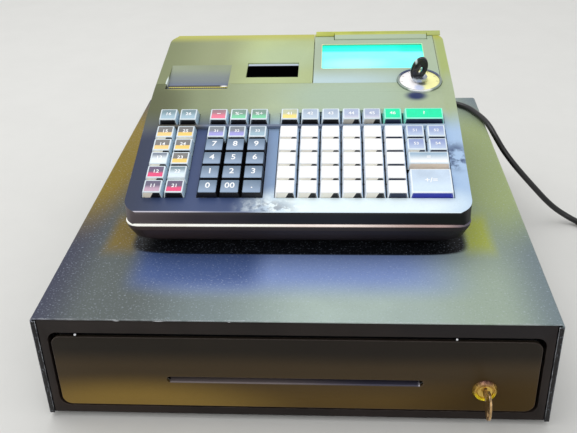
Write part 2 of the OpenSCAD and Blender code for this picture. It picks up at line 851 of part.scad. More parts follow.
module frustum(bw, bd, tw, td, h) {
    intersection() {
        rotate([90, 0, 0]) linear_extrude(bd, center = true)
            polygon([[-bw / 2, 0], [bw / 2, 0], [tw / 2, h], [-tw / 2, h]]);
        rotate([90, 0, 90]) linear_extrude(bw, center = true)
            polygon([[-bd / 2, 0], [bd / 2, 0], [td / 2, h], [-td / 2, h]]);
    }
}

// Key cap spanning a number of columns and rows, its middle at the origin
module key_cap(cols = 1, rows = 1) {
    tw = cap_w + (cols - 1) * col_pitch;
    td = cap_d + (rows - 1) * row_pitch;
    bw = tw + 2 * key_side;
    bd = td + 2 * key_front;
    h = cap_rise + skirt_drop;
    translate([0, 0, -skirt_drop])
        difference() {
            frustum(bw, bd, tw, td, h);
            translate([0, 0, -0.01])
                frustum(bw - 2 * cap_wall, bd - 2 * cap_wall, tw - 2 * cap_wall, td - 2 * cap_wall, h - cap_wall);
        }
    translate([-stem / 2, -stem / 2, -stem_drop]) cube([stem, stem, stem_drop + cap_rise - cap_wall + 0.1]);
}

// A key at a column and row; wide keys start at that column and row
module key(start, col, row, cols = 1, rows = 1) {
    x = col_x(start, col) + (cols - 1) * col_pitch / 2;
    s = row_s(row) + (rows - 1) * row_pitch / 2;
    on_deck(x, s) key_cap(cols, rows);
}

module number_key(col, row) {
    color([0.42, 0.45, 0.55]) key(number_x, col, row);
}

module left_column(col) {
    color([0.85, 0.82, 0.75]) for (r = [0:top_row]) key(left_x, col, r);
}

module department_columns(first) {
    color([0.92, 0.92, 0.92]) for (c = [first, first + 1], r = [0:top_row]) key(dept_x, c, r);
}

module number_top_keys() {
    color([0.5, 0.5, 0.65]) for (c = [0:2], r = [4:top_row]) key(number_x, c, r);
}

module tender_keys() {
    color([0.6, 0.62, 0.78]) for (c = [0:1], r = [3:4]) key(right_x, c, r);
}

module stem_holes(start, cols, r0, rows) {
    hole = stem + 2 * fit;
    for (c = [0:cols - 1], r = [r0:r0 + rows - 1])
        on_deck(col_x(start, c) - hole / 2, row_s(r) - hole / 2, -plate_drop - plate_t - eps)
            cube([hole, hole, plate_t + 2 * eps]);
}

module wide_hole(cols, row, rows) {
    hole = stem + 2 * fit;
    on_deck(right_x + (cols - 1) * col_pitch / 2 - hole / 2,
            row_s(row) + (rows - 1) * row_pitch / 2 - hole / 2, -plate_drop - plate_t - eps)
        cube([hole, hole, plate_t + 2 * eps]);
}

// Plate under the keys, hung from the underside of the deck by rims
module key_plate() {
    rim = 2;
    s0 = first_row - row_pitch / 2 - rim;
    s1 = row_s(top_row) + row_pitch / 2 + rim;
    x0 = left_x - col_pitch / 2 - rim;
    w = 2 * -x0;
    rim_h = plate_drop - wall - 0.1;
    color([0.1, 0.1, 0.11])
        difference() {
            union() {
                on_deck(x0, s0, -plate_drop - plate_t) cube([w, s1 - s0, plate_t]);
                on_deck(x0, s0, -plate_drop)
                    difference() {
                        cube([w, s1 - s0, rim_h]);
                        translate([rim, rim, -eps]) cube([w - 2 * rim, s1 - s0 - 2 * rim, plate_drop]);
                    }
            }
            stem_holes(left_x, 2, 0, 6);
            stem_holes(number_x, 3, 0, 6);
            stem_holes(dept_x, 6, 0, 6);
            stem_holes(right_x, 2, 3, 2);
            wide_hole(2, 0, 2);
            wide_hole(2, 2, 1);
            wide_hole(2, top_row, 1);
        }
}

// ---------- display and mode lock ----------

module display_panel() {
    color([0.5, 0.52, 0.52])
        difference() {
            on_rear(display_x, display_s, -display_t) cube([display_w, display_d, display_t]);
            on_rear(lcd_x, lcd_s, -display_t - eps) cube([lcd_w, lcd_d, display_t + 2 * eps]);
            on_rear(mode_x, mode_s, -display_t - eps) cylinder(r = ring_r + fit, h = display_t + 2 * eps, $fn = 64);
            popup_slot();
        }
}

module lcd_module() {
    color([0.2, 0.8, 0.75])
        on_rear(lcd_x - 2, lcd_s - 2, -display_t - lcd_t) cube([lcd_w + 4, lcd_d + 4, lcd_t]);
}

module mode_ring() {
    color([0.85, 0.85, 0.88])
        on_rear(mode_x, mode_s, -display_t)
            difference() {
                cylinder(r = ring_r, h = display_t + ring_rise, $fn = 64);
                translate([0, 0, -eps]) cylinder(r = ring_r - ring_wall, h = 10, $fn = 64);
            }
}

module mode_plate() {
    color([0.93, 0.92, 0.78])
        on_rear(mode_x, mode_s, -display_t)
            difference() {
                union() {
                    cylinder(r = ring_r - ring_wall - 0.1, h = display_t + 0.4, $fn = 64);
                    translate([0, 0, -12]) cylinder(r = post_r + 3, h = 12, $fn = 48);
                }
                translate([0, 0, -12 - eps]) cylinder(r = post_r + run, h = 20, $fn = 48);
            }
}

// Mode key in its turning plug
module mode_key() {
    bow_w = 17;
    bow_h = 23;
    bow_t = 4;
    color([0.1, 0.1, 0.1])
        on_rear(mode_x, mode_s, 0) {
            translate([0, 0, -12]) cylinder(r = post_r, h = 14, $fn = 48);
            translate([-3.5, -1, 1]) cube([7, 2, 8]);
            translate([0, bow_t / 2, 7 + bow_h / 2]) rotate([90, 0, 0]) linear_extrude(bow_t)
                difference() {
                    scale([bow_w / bow_h, 1]) circle(r = bow_h / 2, $fn = 48);
                    translate([2, 4]) circle(r = 2.4, $fn = 24);
                }
        }
}

// Pop-up display for the customer, stowed behind the rear edge
module customer_display() {
    top = top_z(back_y) + popup_rise;
    color([0.3, 0.33, 0.38])
        difference() {
            translate([popup_x - popup_w / 2, popup_y - popup_t / 2, top - popup_h]) cube([popup_w, popup_t, popup_h]);
            translate([popup_x - popup_w / 2 + 6, popup_y + popup_t / 2 - 1, top - 34]) cube([popup_w - 12, 2, 26]);
        }
}

// ---------- printer ----------

module cheek(x) {
    translate([x, 0, 0]) rotate([90, 0, 90]) linear_extrude(cheek_t)
        polygon([
            [36, chassis_z], [112, chassis_z], [122, chassis_z + 14], [122, roll_z + 6],
            [84, roll_z + 10], [68, reel_z + 5], [44, platen_z + 7.5], [36, platen_z + 2]
        ]);
}

// Two pegs that reach from the cheeks into the ends of what turns between them
module pegs(c, left, right, y, z, r) {
    reach = 4;
    for (span = [[left, c - paper_w / 2 + reach], [c + paper_w / 2 - reach, right]])
        translate([(span[0] + span[1]) / 2, y, z]) x_cylinder(r, span[1] - span[0]);
}

module printer_chassis() {
    mid = (cheek_x[0] + cheek_x[2] + cheek_t) / 2;
    span = cheek_x[2] + cheek_t - cheek_x[0];
    peg_r = core_r - run;
    color([0.3, 0.31, 0.33]) {
        difference() {
            union() {
                for (x = cheek_x) cheek(x);
                translate([cheek_x[0], 36, chassis_z]) cube([span, 76, 2]);
                translate([cheek_x[0], 36, platen_z - 16]) cube([span, 5, 8]);
                for (x = [-126, -12], y = [48, 106])
                    translate([x, y, body_z + wall]) cylinder(r = 4, h = chassis_z + 1 - body_z - wall, $fn = 32);
            }
            translate([mid, platen_y, platen_z]) x_cylinder(shaft_r + run, span + 10);
        }
        pegs(receipt_x, cheek_x[0] + 1, cheek_x[1] + 1, roll_y, roll_z, peg_r);
        pegs(journal_x, cheek_x[1] + 1, cheek_x[2] + 1, roll_y, roll_z, peg_r);
        pegs(journal_x, cheek_x[1] + 1, cheek_x[2] + 1, reel_y, reel_z, shaft_r);
    }
}

module platen_roller() {
    span = cheek_x[2] + cheek_t - cheek_x[0];
    mid = cheek_x[0] + span / 2;
    color([0.12, 0.12, 0.12])
        translate([mid, platen_y, platen_z]) {
            x_cylinder(shaft_r, span + 4);
            for (c = [receipt_x, journal_x]) translate([c - mid, 0, 0]) x_cylinder(platen_r, paper_w - 1);
        }
}

module paper_roll(x) {
    color([0.93, 0.93, 0.9])
        translate([x, roll_y, roll_z])
            difference() {
                x_cylinder(roll_r, paper_w);
                x_cylinder(core_r, paper_w + 2);
            }
}

module take_up_reel() {
    color([0.15, 0.15, 0.16])
        translate([journal_x, reel_y, reel_z])
            difference() {
                union() {
                    x_cylinder(reel_core, paper_w);
                    for (side = [-1, 1]) translate([side * (paper_w / 2 - 0.8), 0, 0]) x_cylinder(reel_r, 1.6);
                }
                x_cylinder(shaft_r + run, paper_w + 2);
            }
}

module printer_cover() {
    rim = 2;
    color([0.24, 0.25, 0.25])
        difference() {
            union() {
                // top sheet with its left skirt, rolled over at the hinge
                intersection() {
                    difference() {
                        body_solid(0);
                        body_solid(cover_t);
                    }
                    cover_prism(cover_right, 0);
                }
                // stiffening rim along the right edge
                translate([cover_right - rim, 0, 0]) rotate([90, 0, 90]) linear_extrude(rim)
                    polygon([
                        [cover_front + 4, top_z(cover_front + 4) - 1], [hinge_y - 8, top_z(hinge_y - 8) - 1],
                        [hinge_y - 8, top_z(hinge_y - 8) - 8], [cover_front + 4, top_z(cover_front + 4) - 8]
                    ]);
                // underside of the receipt scoop
                on_rear(receipt_x - scoop_w / 2 - 2, display_s, -scoop_deep - 2)
                    cube([scoop_w + 4, scoop_d + 2, scoop_deep + 1]);
                // frame of the journal window
                on_rear(window_x - window_w / 2 - 2, window_s - 2, -6) cube([window_w + 4, window_d + 4, 5]);
                // hinge lugs
                for (x = lug_x) translate([x, hinge_y, hinge_z]) {
                    x_cylinder(4, lug_w);
                    translate([-lug_w / 2, -4, 0]) cube([lug_w, 6, rear_edge_r - 1]);
                }
            }
            // scoop, deeper towards its front edge
            translate([receipt_x - scoop_w / 2, 0, 0])
                on_rear(0, display_s - 1, 0) rotate([90, 0, 90]) linear_extrude(scoop_w)
                    polygon([[-1, -scoop_deep], [1, -scoop_deep], [scoop_d, 0], [scoop_d, 5], [-1, 5]]);
            // journal window
            on_rear(window_x - window_w / 2, window_s, -2.5) cube([window_w, window_d, 10]);
            on_rear(window_x - window_w / 2 + 2, window_s + 2, -10) cube([window_w - 4, window_d - 4, 20]);
            for (x = lug_x) translate([x, hinge_y, hinge_z]) x_cylinder(pin_r + run, lug_w + 2);
        }
}

module cover_window() {
    color([0.03, 0.03, 0.04])
        on_rear(window_x - window_w / 2 + fit, window_s + fit, -2.5)
            cube([window_w - 2 * fit, window_d - 2 * fit, 1.2]);
}

// Serrated strip at the front of the scoop
module tear_bar() {
    teeth = 28;
    pitch = (scoop_w - 2) / teeth;
    color([0.8, 0.8, 0.82])
        on_rear(receipt_x - scoop_w / 2 + 1, display_s + 1.5, -scoop_deep + 0.3)
            rotate([scoop_angle, 0, 0]) linear_extrude(0.8)
                polygon(concat(
                    [[scoop_w - 2, 5], [0, 5]],
                    [for (i = [0:teeth - 1]) each [[i * pitch, 0], [(i + 0.5) * pitch, -1]]],
                    [[scoop_w - 2, 0]]
                ));
}

// ---------- mains lead ----------

module strain_relief() {
    color([0.07, 0.07, 0.07])
        translate([cord_exit[0], back_y - 4, cord_exit[2]]) {
            rotate([-90, 0, 0]) cylinder(r = 5.7, h = 4, $fn = 32);
            translate([0, 4, 0]) rotate([-90, 0, 0]) cylinder(r = 8, h = 3, $fn = 32);
            hull() {
                translate([0, 7, 0]) rotate([-90, 0, 0]) cylinder(r = 6.5, h = 0.5, $fn = 32);
                translate([0, relief_len + 4, -2]) rotate([-96, 0, 0]) translate([0, 0, -0.5])
                    cylinder(r = cord_d / 2 + 0.8, h = 0.5, $fn = 32);
            }
        }
}

// Point on the smooth curve through the route, for a place t counted in points
function route_point(p, t) =
    let (
        i = min(floor(t), len(p) - 2), f = t - i,
        a = p[max(i - 1, 0)], b = p[i], c = p[i + 1], d = p[min(i + 2, len(p) - 1)]
    )
    0.5 * (2 * b + (c - a) * f + (2 * a - 5 * b + 4 * c - d) * f * f + (3 * b - a - 3 * c + d) * f * f * f);

function unit(v) = v / norm(v);

// Rings of a tube round the route; each ring stands across the route there
function tube_points(p, r, per) =
    let (last = len(p) - 1, n = last * per)
    [for (i = [0:n], k = [0:cord_sides - 1])
        let (
            t = i / per,
            here = route_point(p, t),
            ahead = unit(route_point(p, min(t + 0.02, last)) - route_point(p, max(t - 0.02, 0))),
            side = unit(cross(ahead, [0, 0, 1])),
            up = cross(side, ahead),
            a = 360 * (k + 0.5) / cord_sides
        )
        here + r * (cos(a) * side + sin(a) * up)];

function tube_faces(n) = concat(
    [[for (k = [0:cord_sides - 1]) k]],
    [for (i = [0:n - 1], k = [0:cord_sides - 1])
        let (j = (k + 1) % cord_sides)
            [i * cord_sides + k, (i + 1) * cord_sides + k, (i + 1) * cord_sides + j, i * cord_sides + j]],
    [[for (k = [cord_sides - 1:-1:0]) n * cord_sides + k]]
);

module mains_cord() {
    per = 2;
    color([0.06, 0.06, 0.06])
        polyhedron(
            points = tube_points(cord_route, cord_d / 2, per),
            faces = tube_faces((len(cord_route) - 1) * per),
            convexity = 10
        );
}

module cord_coil() {
    color([0.06, 0.06, 0.06])
        translate([coil_x, coil_y, 0]) rotate_extrude($fn = 72)
            translate([coil_mid_r - coil_turns_wide * cord_d / 2, 0])
                square([coil_turns_wide * cord_d, coil_layers * cord_d]);
}

// Plug lying on the coil, its pins towards +Y
module mains_plug() {
    plug_w = 24;
    plug_d = 38;
    plug_h = 20;
    nose = 10;
    blade_gap = 12;
    blade_z = 8;
    pin_len = 17;
    translate([coil_x + 30, coil_y - 4, coil_layers * cord_d + 0.05]) {
        color([0.08, 0.08, 0.08]) {
            hull() {
                translate([-plug_w / 2, 12, 0]) cube([plug_w, plug_d - 12, plug_h]);
                translate([-7, 0, 3]) cube([14, 2, plug_h - 6]);
            }
            translate([0, -nose, plug_h / 2]) y_cylinder(cord_d / 2 + 1.2, nose + 1);
        }
        color([0.8, 0.75, 0.5]) {
            for (side = [-1, 1])
                translate([side * blade_gap / 2 - 0.75, plug_d - 1, blade_z]) cube([1.5, pin_len + 1, 6.3]);
            translate([0, plug_d - 1, 4]) y_cylinder(2.3, pin_len + 3);
        }
    }
}

case_cover();
front_frame();
case_base();
rubber_feet();
case_rails();
latch_solenoid();
eject_spring();
latch_lever();
drawer_pan();
drawer_front();
drawer_rails();
cash_tray();
bill_clips();
lock_barrel();
lock_plug();
drawer_key();
lower_case();
upper_case();
key_plate();
main_board();
display_panel();
lcd_module();
mode_ring();
mode_plate();
mode_key();
customer_display();
printer_chassis();
platen_roller();
paper_roll(receipt_x);  // receipt_roll
paper_roll(journal_x);  // journal_roll
take_up_reel();
printer_cover();
cover_window();
tear_bar();
number_key(0, 0);  // key_0
number_key(1, 0);  // key_00
number_key(2, 0);  // key_point
number_key(0, 1);  // key_1
number_key(1, 1);  // key_2
number_key(2, 1);  // key_3
number_key(0, 2);  // key_4
number_key(1, 2);  // key_5
number_key(2, 2);  // key_6
number_key(0, 3);  // key_7
number_key(1, 3);  // key_8
number_key(2, 3);  // key_9
number_top_keys();
left_column(0);  // left_keys_outer
left_column(1);  // left_keys_inner
department_columns(0);  // department_keys_a
department_columns(2);  // department_keys_b
department_columns(4);  // department_keys_c
tender_keys();
color([0.75, 0.78, 0.85]) key(right_x, 0, 2, 2, 1);  // subtotal_key
color([0.55, 0.65, 0.85]) key(right_x, 0, 0, 2, 2);  // cash_key
color([0.15, 0.6, 0.4]) key(right_x, 0, top_row, 2, 1);  // help_key
strain_relief();
mains_cord();
cord_coil();
mains_plug();
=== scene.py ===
"""Dressed model of an electronic register that stands on its steel cash drawer.

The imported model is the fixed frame. Each sub-assembly below is a class: its sizes
are fields, in millimetres, and its methods model the pieces with Blender's own
operators, give them their finishes and hang them on the bodies of the frame.
A piece is shaped in millimetres and then placed in the frame, in metres.
"""

from __future__ import annotations

import json
import logging
import math
from dataclasses import dataclass, field
from enum import Enum
from typing import Callable, Sequence

import bpy
import numpy as np
from mathutils import Matrix, Vector

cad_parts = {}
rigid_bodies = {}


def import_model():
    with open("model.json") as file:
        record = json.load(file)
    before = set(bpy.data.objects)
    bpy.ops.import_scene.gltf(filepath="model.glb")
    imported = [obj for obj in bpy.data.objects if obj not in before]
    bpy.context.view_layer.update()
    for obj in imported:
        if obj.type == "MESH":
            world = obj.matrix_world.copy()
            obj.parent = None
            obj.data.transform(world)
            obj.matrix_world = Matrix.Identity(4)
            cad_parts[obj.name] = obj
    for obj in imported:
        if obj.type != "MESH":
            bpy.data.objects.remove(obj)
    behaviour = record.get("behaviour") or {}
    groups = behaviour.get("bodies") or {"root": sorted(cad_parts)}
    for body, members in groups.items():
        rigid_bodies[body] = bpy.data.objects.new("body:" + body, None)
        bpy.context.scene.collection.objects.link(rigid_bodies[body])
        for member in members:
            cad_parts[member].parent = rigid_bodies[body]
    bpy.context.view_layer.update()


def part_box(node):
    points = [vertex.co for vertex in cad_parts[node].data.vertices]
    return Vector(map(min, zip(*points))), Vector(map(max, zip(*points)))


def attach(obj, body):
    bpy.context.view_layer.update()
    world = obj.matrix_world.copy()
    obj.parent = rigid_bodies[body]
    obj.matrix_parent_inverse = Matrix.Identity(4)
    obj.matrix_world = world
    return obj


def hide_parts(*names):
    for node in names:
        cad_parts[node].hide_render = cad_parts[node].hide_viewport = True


LOG = logging.getLogger("register")
MM = 0.001
TO_METRES = Matrix.Scale(MM, 4)

Triple = tuple[float, float, float]
Pair = tuple[float, float]
Test = Callable[[Vector, Vector], bool]
Socket = bpy.types.NodeSocket

COAT_ROUGHNESS = 0.12
BUMP_STRENGTH = 0.6


# ---------------------------------------------------------------- colours


def linear(colour: Triple, alpha: float = 1.0) -> tuple[float, float, float, float]:
    """A colour for a shader socket.

    Args:
        colour: red, green and blue as a painter mixes them on screen, 0 to 255.
        alpha: opacity.

    Returns:
        The same colour in linear light, 0 to 1.
    """
    parts = [value / 255 for value in colour]
    lit = [p / 12.92 if p <= 0.04045 else ((p + 0.055) / 1.055) ** 2.4 for p in parts]
    return (lit[0], lit[1], lit[2], alpha)


@dataclass(frozen=True)
class Wash:
    """A colour that comes in along a line over a surface.

    Attributes:
        colour: the colour where the wash is full.
        start: where it begins, in millimetres in the frame.
        end: where it is full.
        strength: how much of it there is at its end, 0 to 1.
    """

    colour: Triple
    start: Triple
    end: Triple
    strength: float = 1.0


@dataclass(frozen=True)
class Patch:
    """A soft oval of colour on a surface, or a soft block.

    Attributes:
        colour: the colour in its middle.
        centre: its middle, in millimetres in the frame.
        reach: its half sizes along X, Y and Z.
        strength: how much of it there is in the middle, 0 to 1.
        core: the share of the reach over which it stays full.
        square: 0 for an oval, 1 for a block with rounded corners.
        lump: how fine it is broken up into clouds, in lumps per metre; 0 leaves it whole.
    """

    colour: Triple
    centre: Triple
    reach: Triple
    strength: float = 1.0
    core: float = 0.2
    square: float = 0.0
    lump: float = 0.0


@dataclass(frozen=True)
class Zone:
    """A part of a surface with a ground colour, washes and patches of its own.

    Attributes:
        colour: its ground colour.
        start: where it begins, in millimetres in the frame.
        end: where it is full.
        washes: its washes.
        patches: its patches.
    """

    colour: Triple
    start: Triple
    end: Triple
    washes: tuple[Wash, ...] = ()
    patches: tuple[Patch, ...] = ()


@dataclass(frozen=True)
class Wear:
    """Rubbed or chipped edges.

    Attributes:
        colour: what shows where the finish has gone.
        radius: how far from an edge it reaches, in millimetres.
        amount: how much of it there is, 0 to 1.
        scale: how fine it is broken up, in lumps per metre.
    """

    colour: Triple
    radius: float = 0.8
    amount: float = 0.6
    scale: float = 120.0


@dataclass(frozen=True)
class Grain:
    """Fine unevenness of a surface.

    Attributes:
        scale: lumps per metre.
        height: how far they stand out, in millimetres.
        shade: how much they vary the colour, 0 to 1.
        rough: how much they vary the roughness.
    """

    scale: float = 900.0
    height: float = 0.05
    shade: float = 0.06
    rough: float = 0.05


BRASS_GRAIN = Grain(300, 0.02, 0.06, 0.12)
DECK_GRAIN = Grain(1500, 0.05, 0.03, 0.06)
SHELL_GRAIN = Grain(1200, 0.05, 0.05, 0.06)
INSIDE_GRAIN = Grain(900, 0.05, 0.05, 0.05)


# ---------------------------------------------------------------- node groups


class Groups:
    """The node groups that the finishes share, each built once."""

    def __init__(self) -> None:
        """Starts with no group built."""
        self.made: dict[str, bpy.types.NodeTree] = {}

    def get(self, name: str) -> bpy.types.NodeTree:
        """Finds a group, and builds it the first time.

        Args:
            name: "Wash", "Patch", "Grain", "Edge wear" or "Blotch".

        Returns:
            The node group.
        """
        if name not in self.made:
            tree = bpy.data.node_groups.new(name, "ShaderNodeTree")
            self.made[name] = tree
            build = {
                "Wash": self.build_wash,
                "Patch": self.build_patch,
                "Grain": self.build_grain,
                "Edge wear": self.build_wear,
                "Blotch": self.build_blotch,
            }
            build[name](Tree(tree))
        return self.made[name]

    @staticmethod
    def build_wash(t: Tree) -> None:
        """Colour that comes in from Start to End."""
        t.inputs(Colour="Color", Tint="Color", Position="Vector", Start="Vector", End="Vector",
                 Strength="Float")
        t.outputs(Colour="Color")
        run = t.vector("SUBTRACT", t.given("End"), t.given("Start"))
        here = t.vector("SUBTRACT", t.given("Position"), t.given("Start"))
        along = t.math("DIVIDE", t.vector("DOT_PRODUCT", here, run), t.vector("DOT_PRODUCT", run, run))
        share = t.math("MULTIPLY", t.smooth(along, 0, 1), t.given("Strength"))
        t.give("Colour", t.mix(share, t.given("Colour"), t.given("Tint")))

    @staticmethod
    def build_patch(t: Tree) -> None:
        """Oval of colour round Centre."""
        t.inputs(Colour="Color", Tint="Color", Position="Vector", Centre="Vector", Reach="Vector",
                 Core="Float", Strength="Float", Square="Float")
        t.outputs(Colour="Color")
        off = t.vector("SUBTRACT", t.given("Position"), t.given("Centre"))
        away = t.vector("DIVIDE", off, t.given("Reach"))
        once = t.vector("MULTIPLY", away, away)
        corner = t.math("POWER", t.vector("LENGTH", t.vector("MULTIPLY", once, once)), 0.25)
        oval = t.vector("LENGTH", away)
        swell = t.math("MULTIPLY", t.math("SUBTRACT", corner, oval), t.given("Square"))
        full = t.smooth(t.math("ADD", oval, swell), t.given("Core"), 1, ends=(1, 0))
        share = t.math("MULTIPLY", full, t.given("Strength"))
        t.give("Colour", t.mix(share, t.given("Colour"), t.given("Tint")))

    @staticmethod
    def build_grain(t: Tree) -> None:
        """Fine lumps, as a height and as a factor about 1."""
        t.inputs(Position="Vector", Scale="Float", Shade="Float")
        t.outputs(Height="Float", Shade="Float")
        fine = t.noise(t.given("Position"), t.given("Scale"), 3)
        coarse = t.noise(t.given("Position"), t.math("MULTIPLY", t.given("Scale"), 0.21), 2)
        both = t.math("ADD", t.math("MULTIPLY", fine, 0.7), t.math("MULTIPLY", coarse, 0.3))
        t.give("Height", both)
        swing = t.math("MULTIPLY", t.math("SUBTRACT", both, 0.5), t.math("MULTIPLY", t.given("Shade"), 4))
        t.give("Shade", t.math("ADD", swing, 1))

    @staticmethod
    def build_wear(t: Tree) -> None:
        """Mask along outer edges, broken up by lumps."""
        t.inputs(Position="Vector", Radius="Float", Scale="Float", Amount="Float")
        t.outputs(Mask="Float")
        bevel = t.node("ShaderNodeBevel", samples=4)
        t.link(t.given("Radius"), bevel.inputs["Radius"])
        flat = t.node("ShaderNodeNewGeometry")
        turn = t.vector("DOT_PRODUCT", bevel.outputs["Normal"], flat.outputs["Normal"])
        edge = t.smooth(t.math("SUBTRACT", 1, turn), 0.02, 0.16)
        lumps = t.noise(t.given("Position"), t.given("Scale"), 4)
        least = t.math("MULTIPLY", t.math("SUBTRACT", 1, t.given("Amount")), 0.7)
        broken = t.smooth(lumps, least, t.math("ADD", least, 0.22), "LINEAR")
        t.give("Mask", t.math("MULTIPLY", edge, broken))

    @staticmethod
    def build_blotch(t: Tree) -> None:
        """Irregular spots, as a mask."""
        t.inputs(Position="Vector", Scale="Float", Level="Float", Soft="Float")
        t.outputs(Mask="Float")
        lumps = t.noise(t.given("Position"), t.given("Scale"), 5)
        most = t.math("ADD", t.given("Level"), t.given("Soft"))
        t.give("Mask", t.smooth(lumps, t.given("Level"), most))


class Tree:
    """A node tree with short calls for the nodes that the finishes are made of."""

    def __init__(self, tree: bpy.types.NodeTree) -> None:
        """Wraps a node tree.

        Args:
            tree: a material's tree or a node group.
        """
        self.tree = tree
        self.entry: bpy.types.Node | None = None
        self.exit: bpy.types.Node | None = None

    def node(self, kind: str, **settings: object) -> bpy.types.Node:
        """Adds a node and sets its properties.

        Args:
            kind: Blender's name of the node type.
            **settings: properties of the node.

        Returns:
            The node.
        """
        made = self.tree.nodes.new(kind)
        for key, value in settings.items():
            setattr(made, key, value)
        return made

    def link(self, source: Socket, target: Socket) -> None:
        """Joins an output to an input."""
        self.tree.links.new(source, target)

    def feed(self, value: object, target: Socket) -> None:
        """Links a socket to an input, or sets the input to a plain value."""
        if isinstance(value, Socket):
            self.link(value, target)
        else:
            target.default_value = value

    def sockets(self, way: str, kinds: dict[str, str]) -> bpy.types.Node:
        """Gives a group its sockets of one way, INPUT or OUTPUT, and the node that holds them."""
        for name, kind in kinds.items():
            self.tree.interface.new_socket(name=name, in_out=way, socket_type=f"NodeSocket{kind}")
        return self.node(f"NodeGroup{way.title()}")

    def inputs(self, **kinds: str) -> None:
        """Gives a group its inputs, by name and kind."""
        self.entry = self.sockets("INPUT", kinds)

    def outputs(self, **kinds: str) -> None:
        """Gives a group its outputs, by name and kind."""
        self.exit = self.sockets("OUTPUT", kinds)

    def given(self, name: str) -> Socket:
        """An input of the group, seen from inside."""
        return self.entry.outputs[name]

    def give(self, name: str, value: Socket) -> None:
        """Feeds an output of the group."""
        self.link(value, self.exit.inputs[name])

    def math(self, operation: str, a: object, b: object = 0.0) -> Socket:
        """A sum of two numbers."""
        made = self.node("ShaderNodeMath", operation=operation)
        self.feed(a, made.inputs[0])
        self.feed(b, made.inputs[1])
        return made.outputs[0]

    def vector(self, operation: str, a: object, b: object = (0.0, 0.0, 0.0)) -> Socket:
        """A sum of two vectors, or their product or length as a number."""
        made = self.node("ShaderNodeVectorMath", operation=operation)
        self.feed(a, made.inputs[0])
        if operation != "LENGTH":
            self.feed(b, made.inputs[1])
        scalar = operation in ("DOT_PRODUCT", "LENGTH")
        return made.outputs["Value" if scalar else "Vector"]

    def smooth(self, value: object, low: object, high: object, curve: str = "SMOOTHSTEP",
               ends: Pair = (0, 1)) -> Socket:
        """The first end below low, the second above high and a curve between them."""
        made = self.node("ShaderNodeMapRange", interpolation_type=curve, clamp=True)
        names = ("Value", "From Min", "From Max", "To Min", "To Max")
        for name, given in zip(names, (value, low, high, *ends)):
            self.feed(given, made.inputs[name])
        return made.outputs["Result"]

    def noise(self, position: object, scale: object, detail: float) -> Socket:
        """Noise from 0 to 1 at a place."""
        made = self.node("ShaderNodeTexNoise")
        self.feed(position, made.inputs["Vector"])
        self.feed(scale, made.inputs["Scale"])
        made.inputs["Detail"].default_value = detail
        made.inputs["Roughness"].default_value = 0.6
        return made.outputs["Fac"]

    def mix(self, share: object, a: object, b: object, blend: str = "MIX") -> Socket:
        """A colour between two others."""
        made = self.node("ShaderNodeMix", data_type="RGBA", blend_type=blend)
        self.feed(share, made.inputs["Factor"])
        self.feed(a, made.inputs[6])
        self.feed(b, made.inputs[7])
        return made.outputs[2]

    def group(self, name: str, **values: object) -> bpy.types.Node:
        """Places a shared group and feeds its inputs.

        Args:
            name: the group's name.
            **values: sockets or plain values, by input; an underscore stands for a blank.

        Returns:
            The group's node.
        """
        made = self.node("ShaderNodeGroup", node_tree=GROUPS.get(name))
        for key, value in values.items():
            self.feed(value, made.inputs[key.replace("_", " ")])
        return made


GROUPS = Groups()


# ---------------------------------------------------------------- finishes


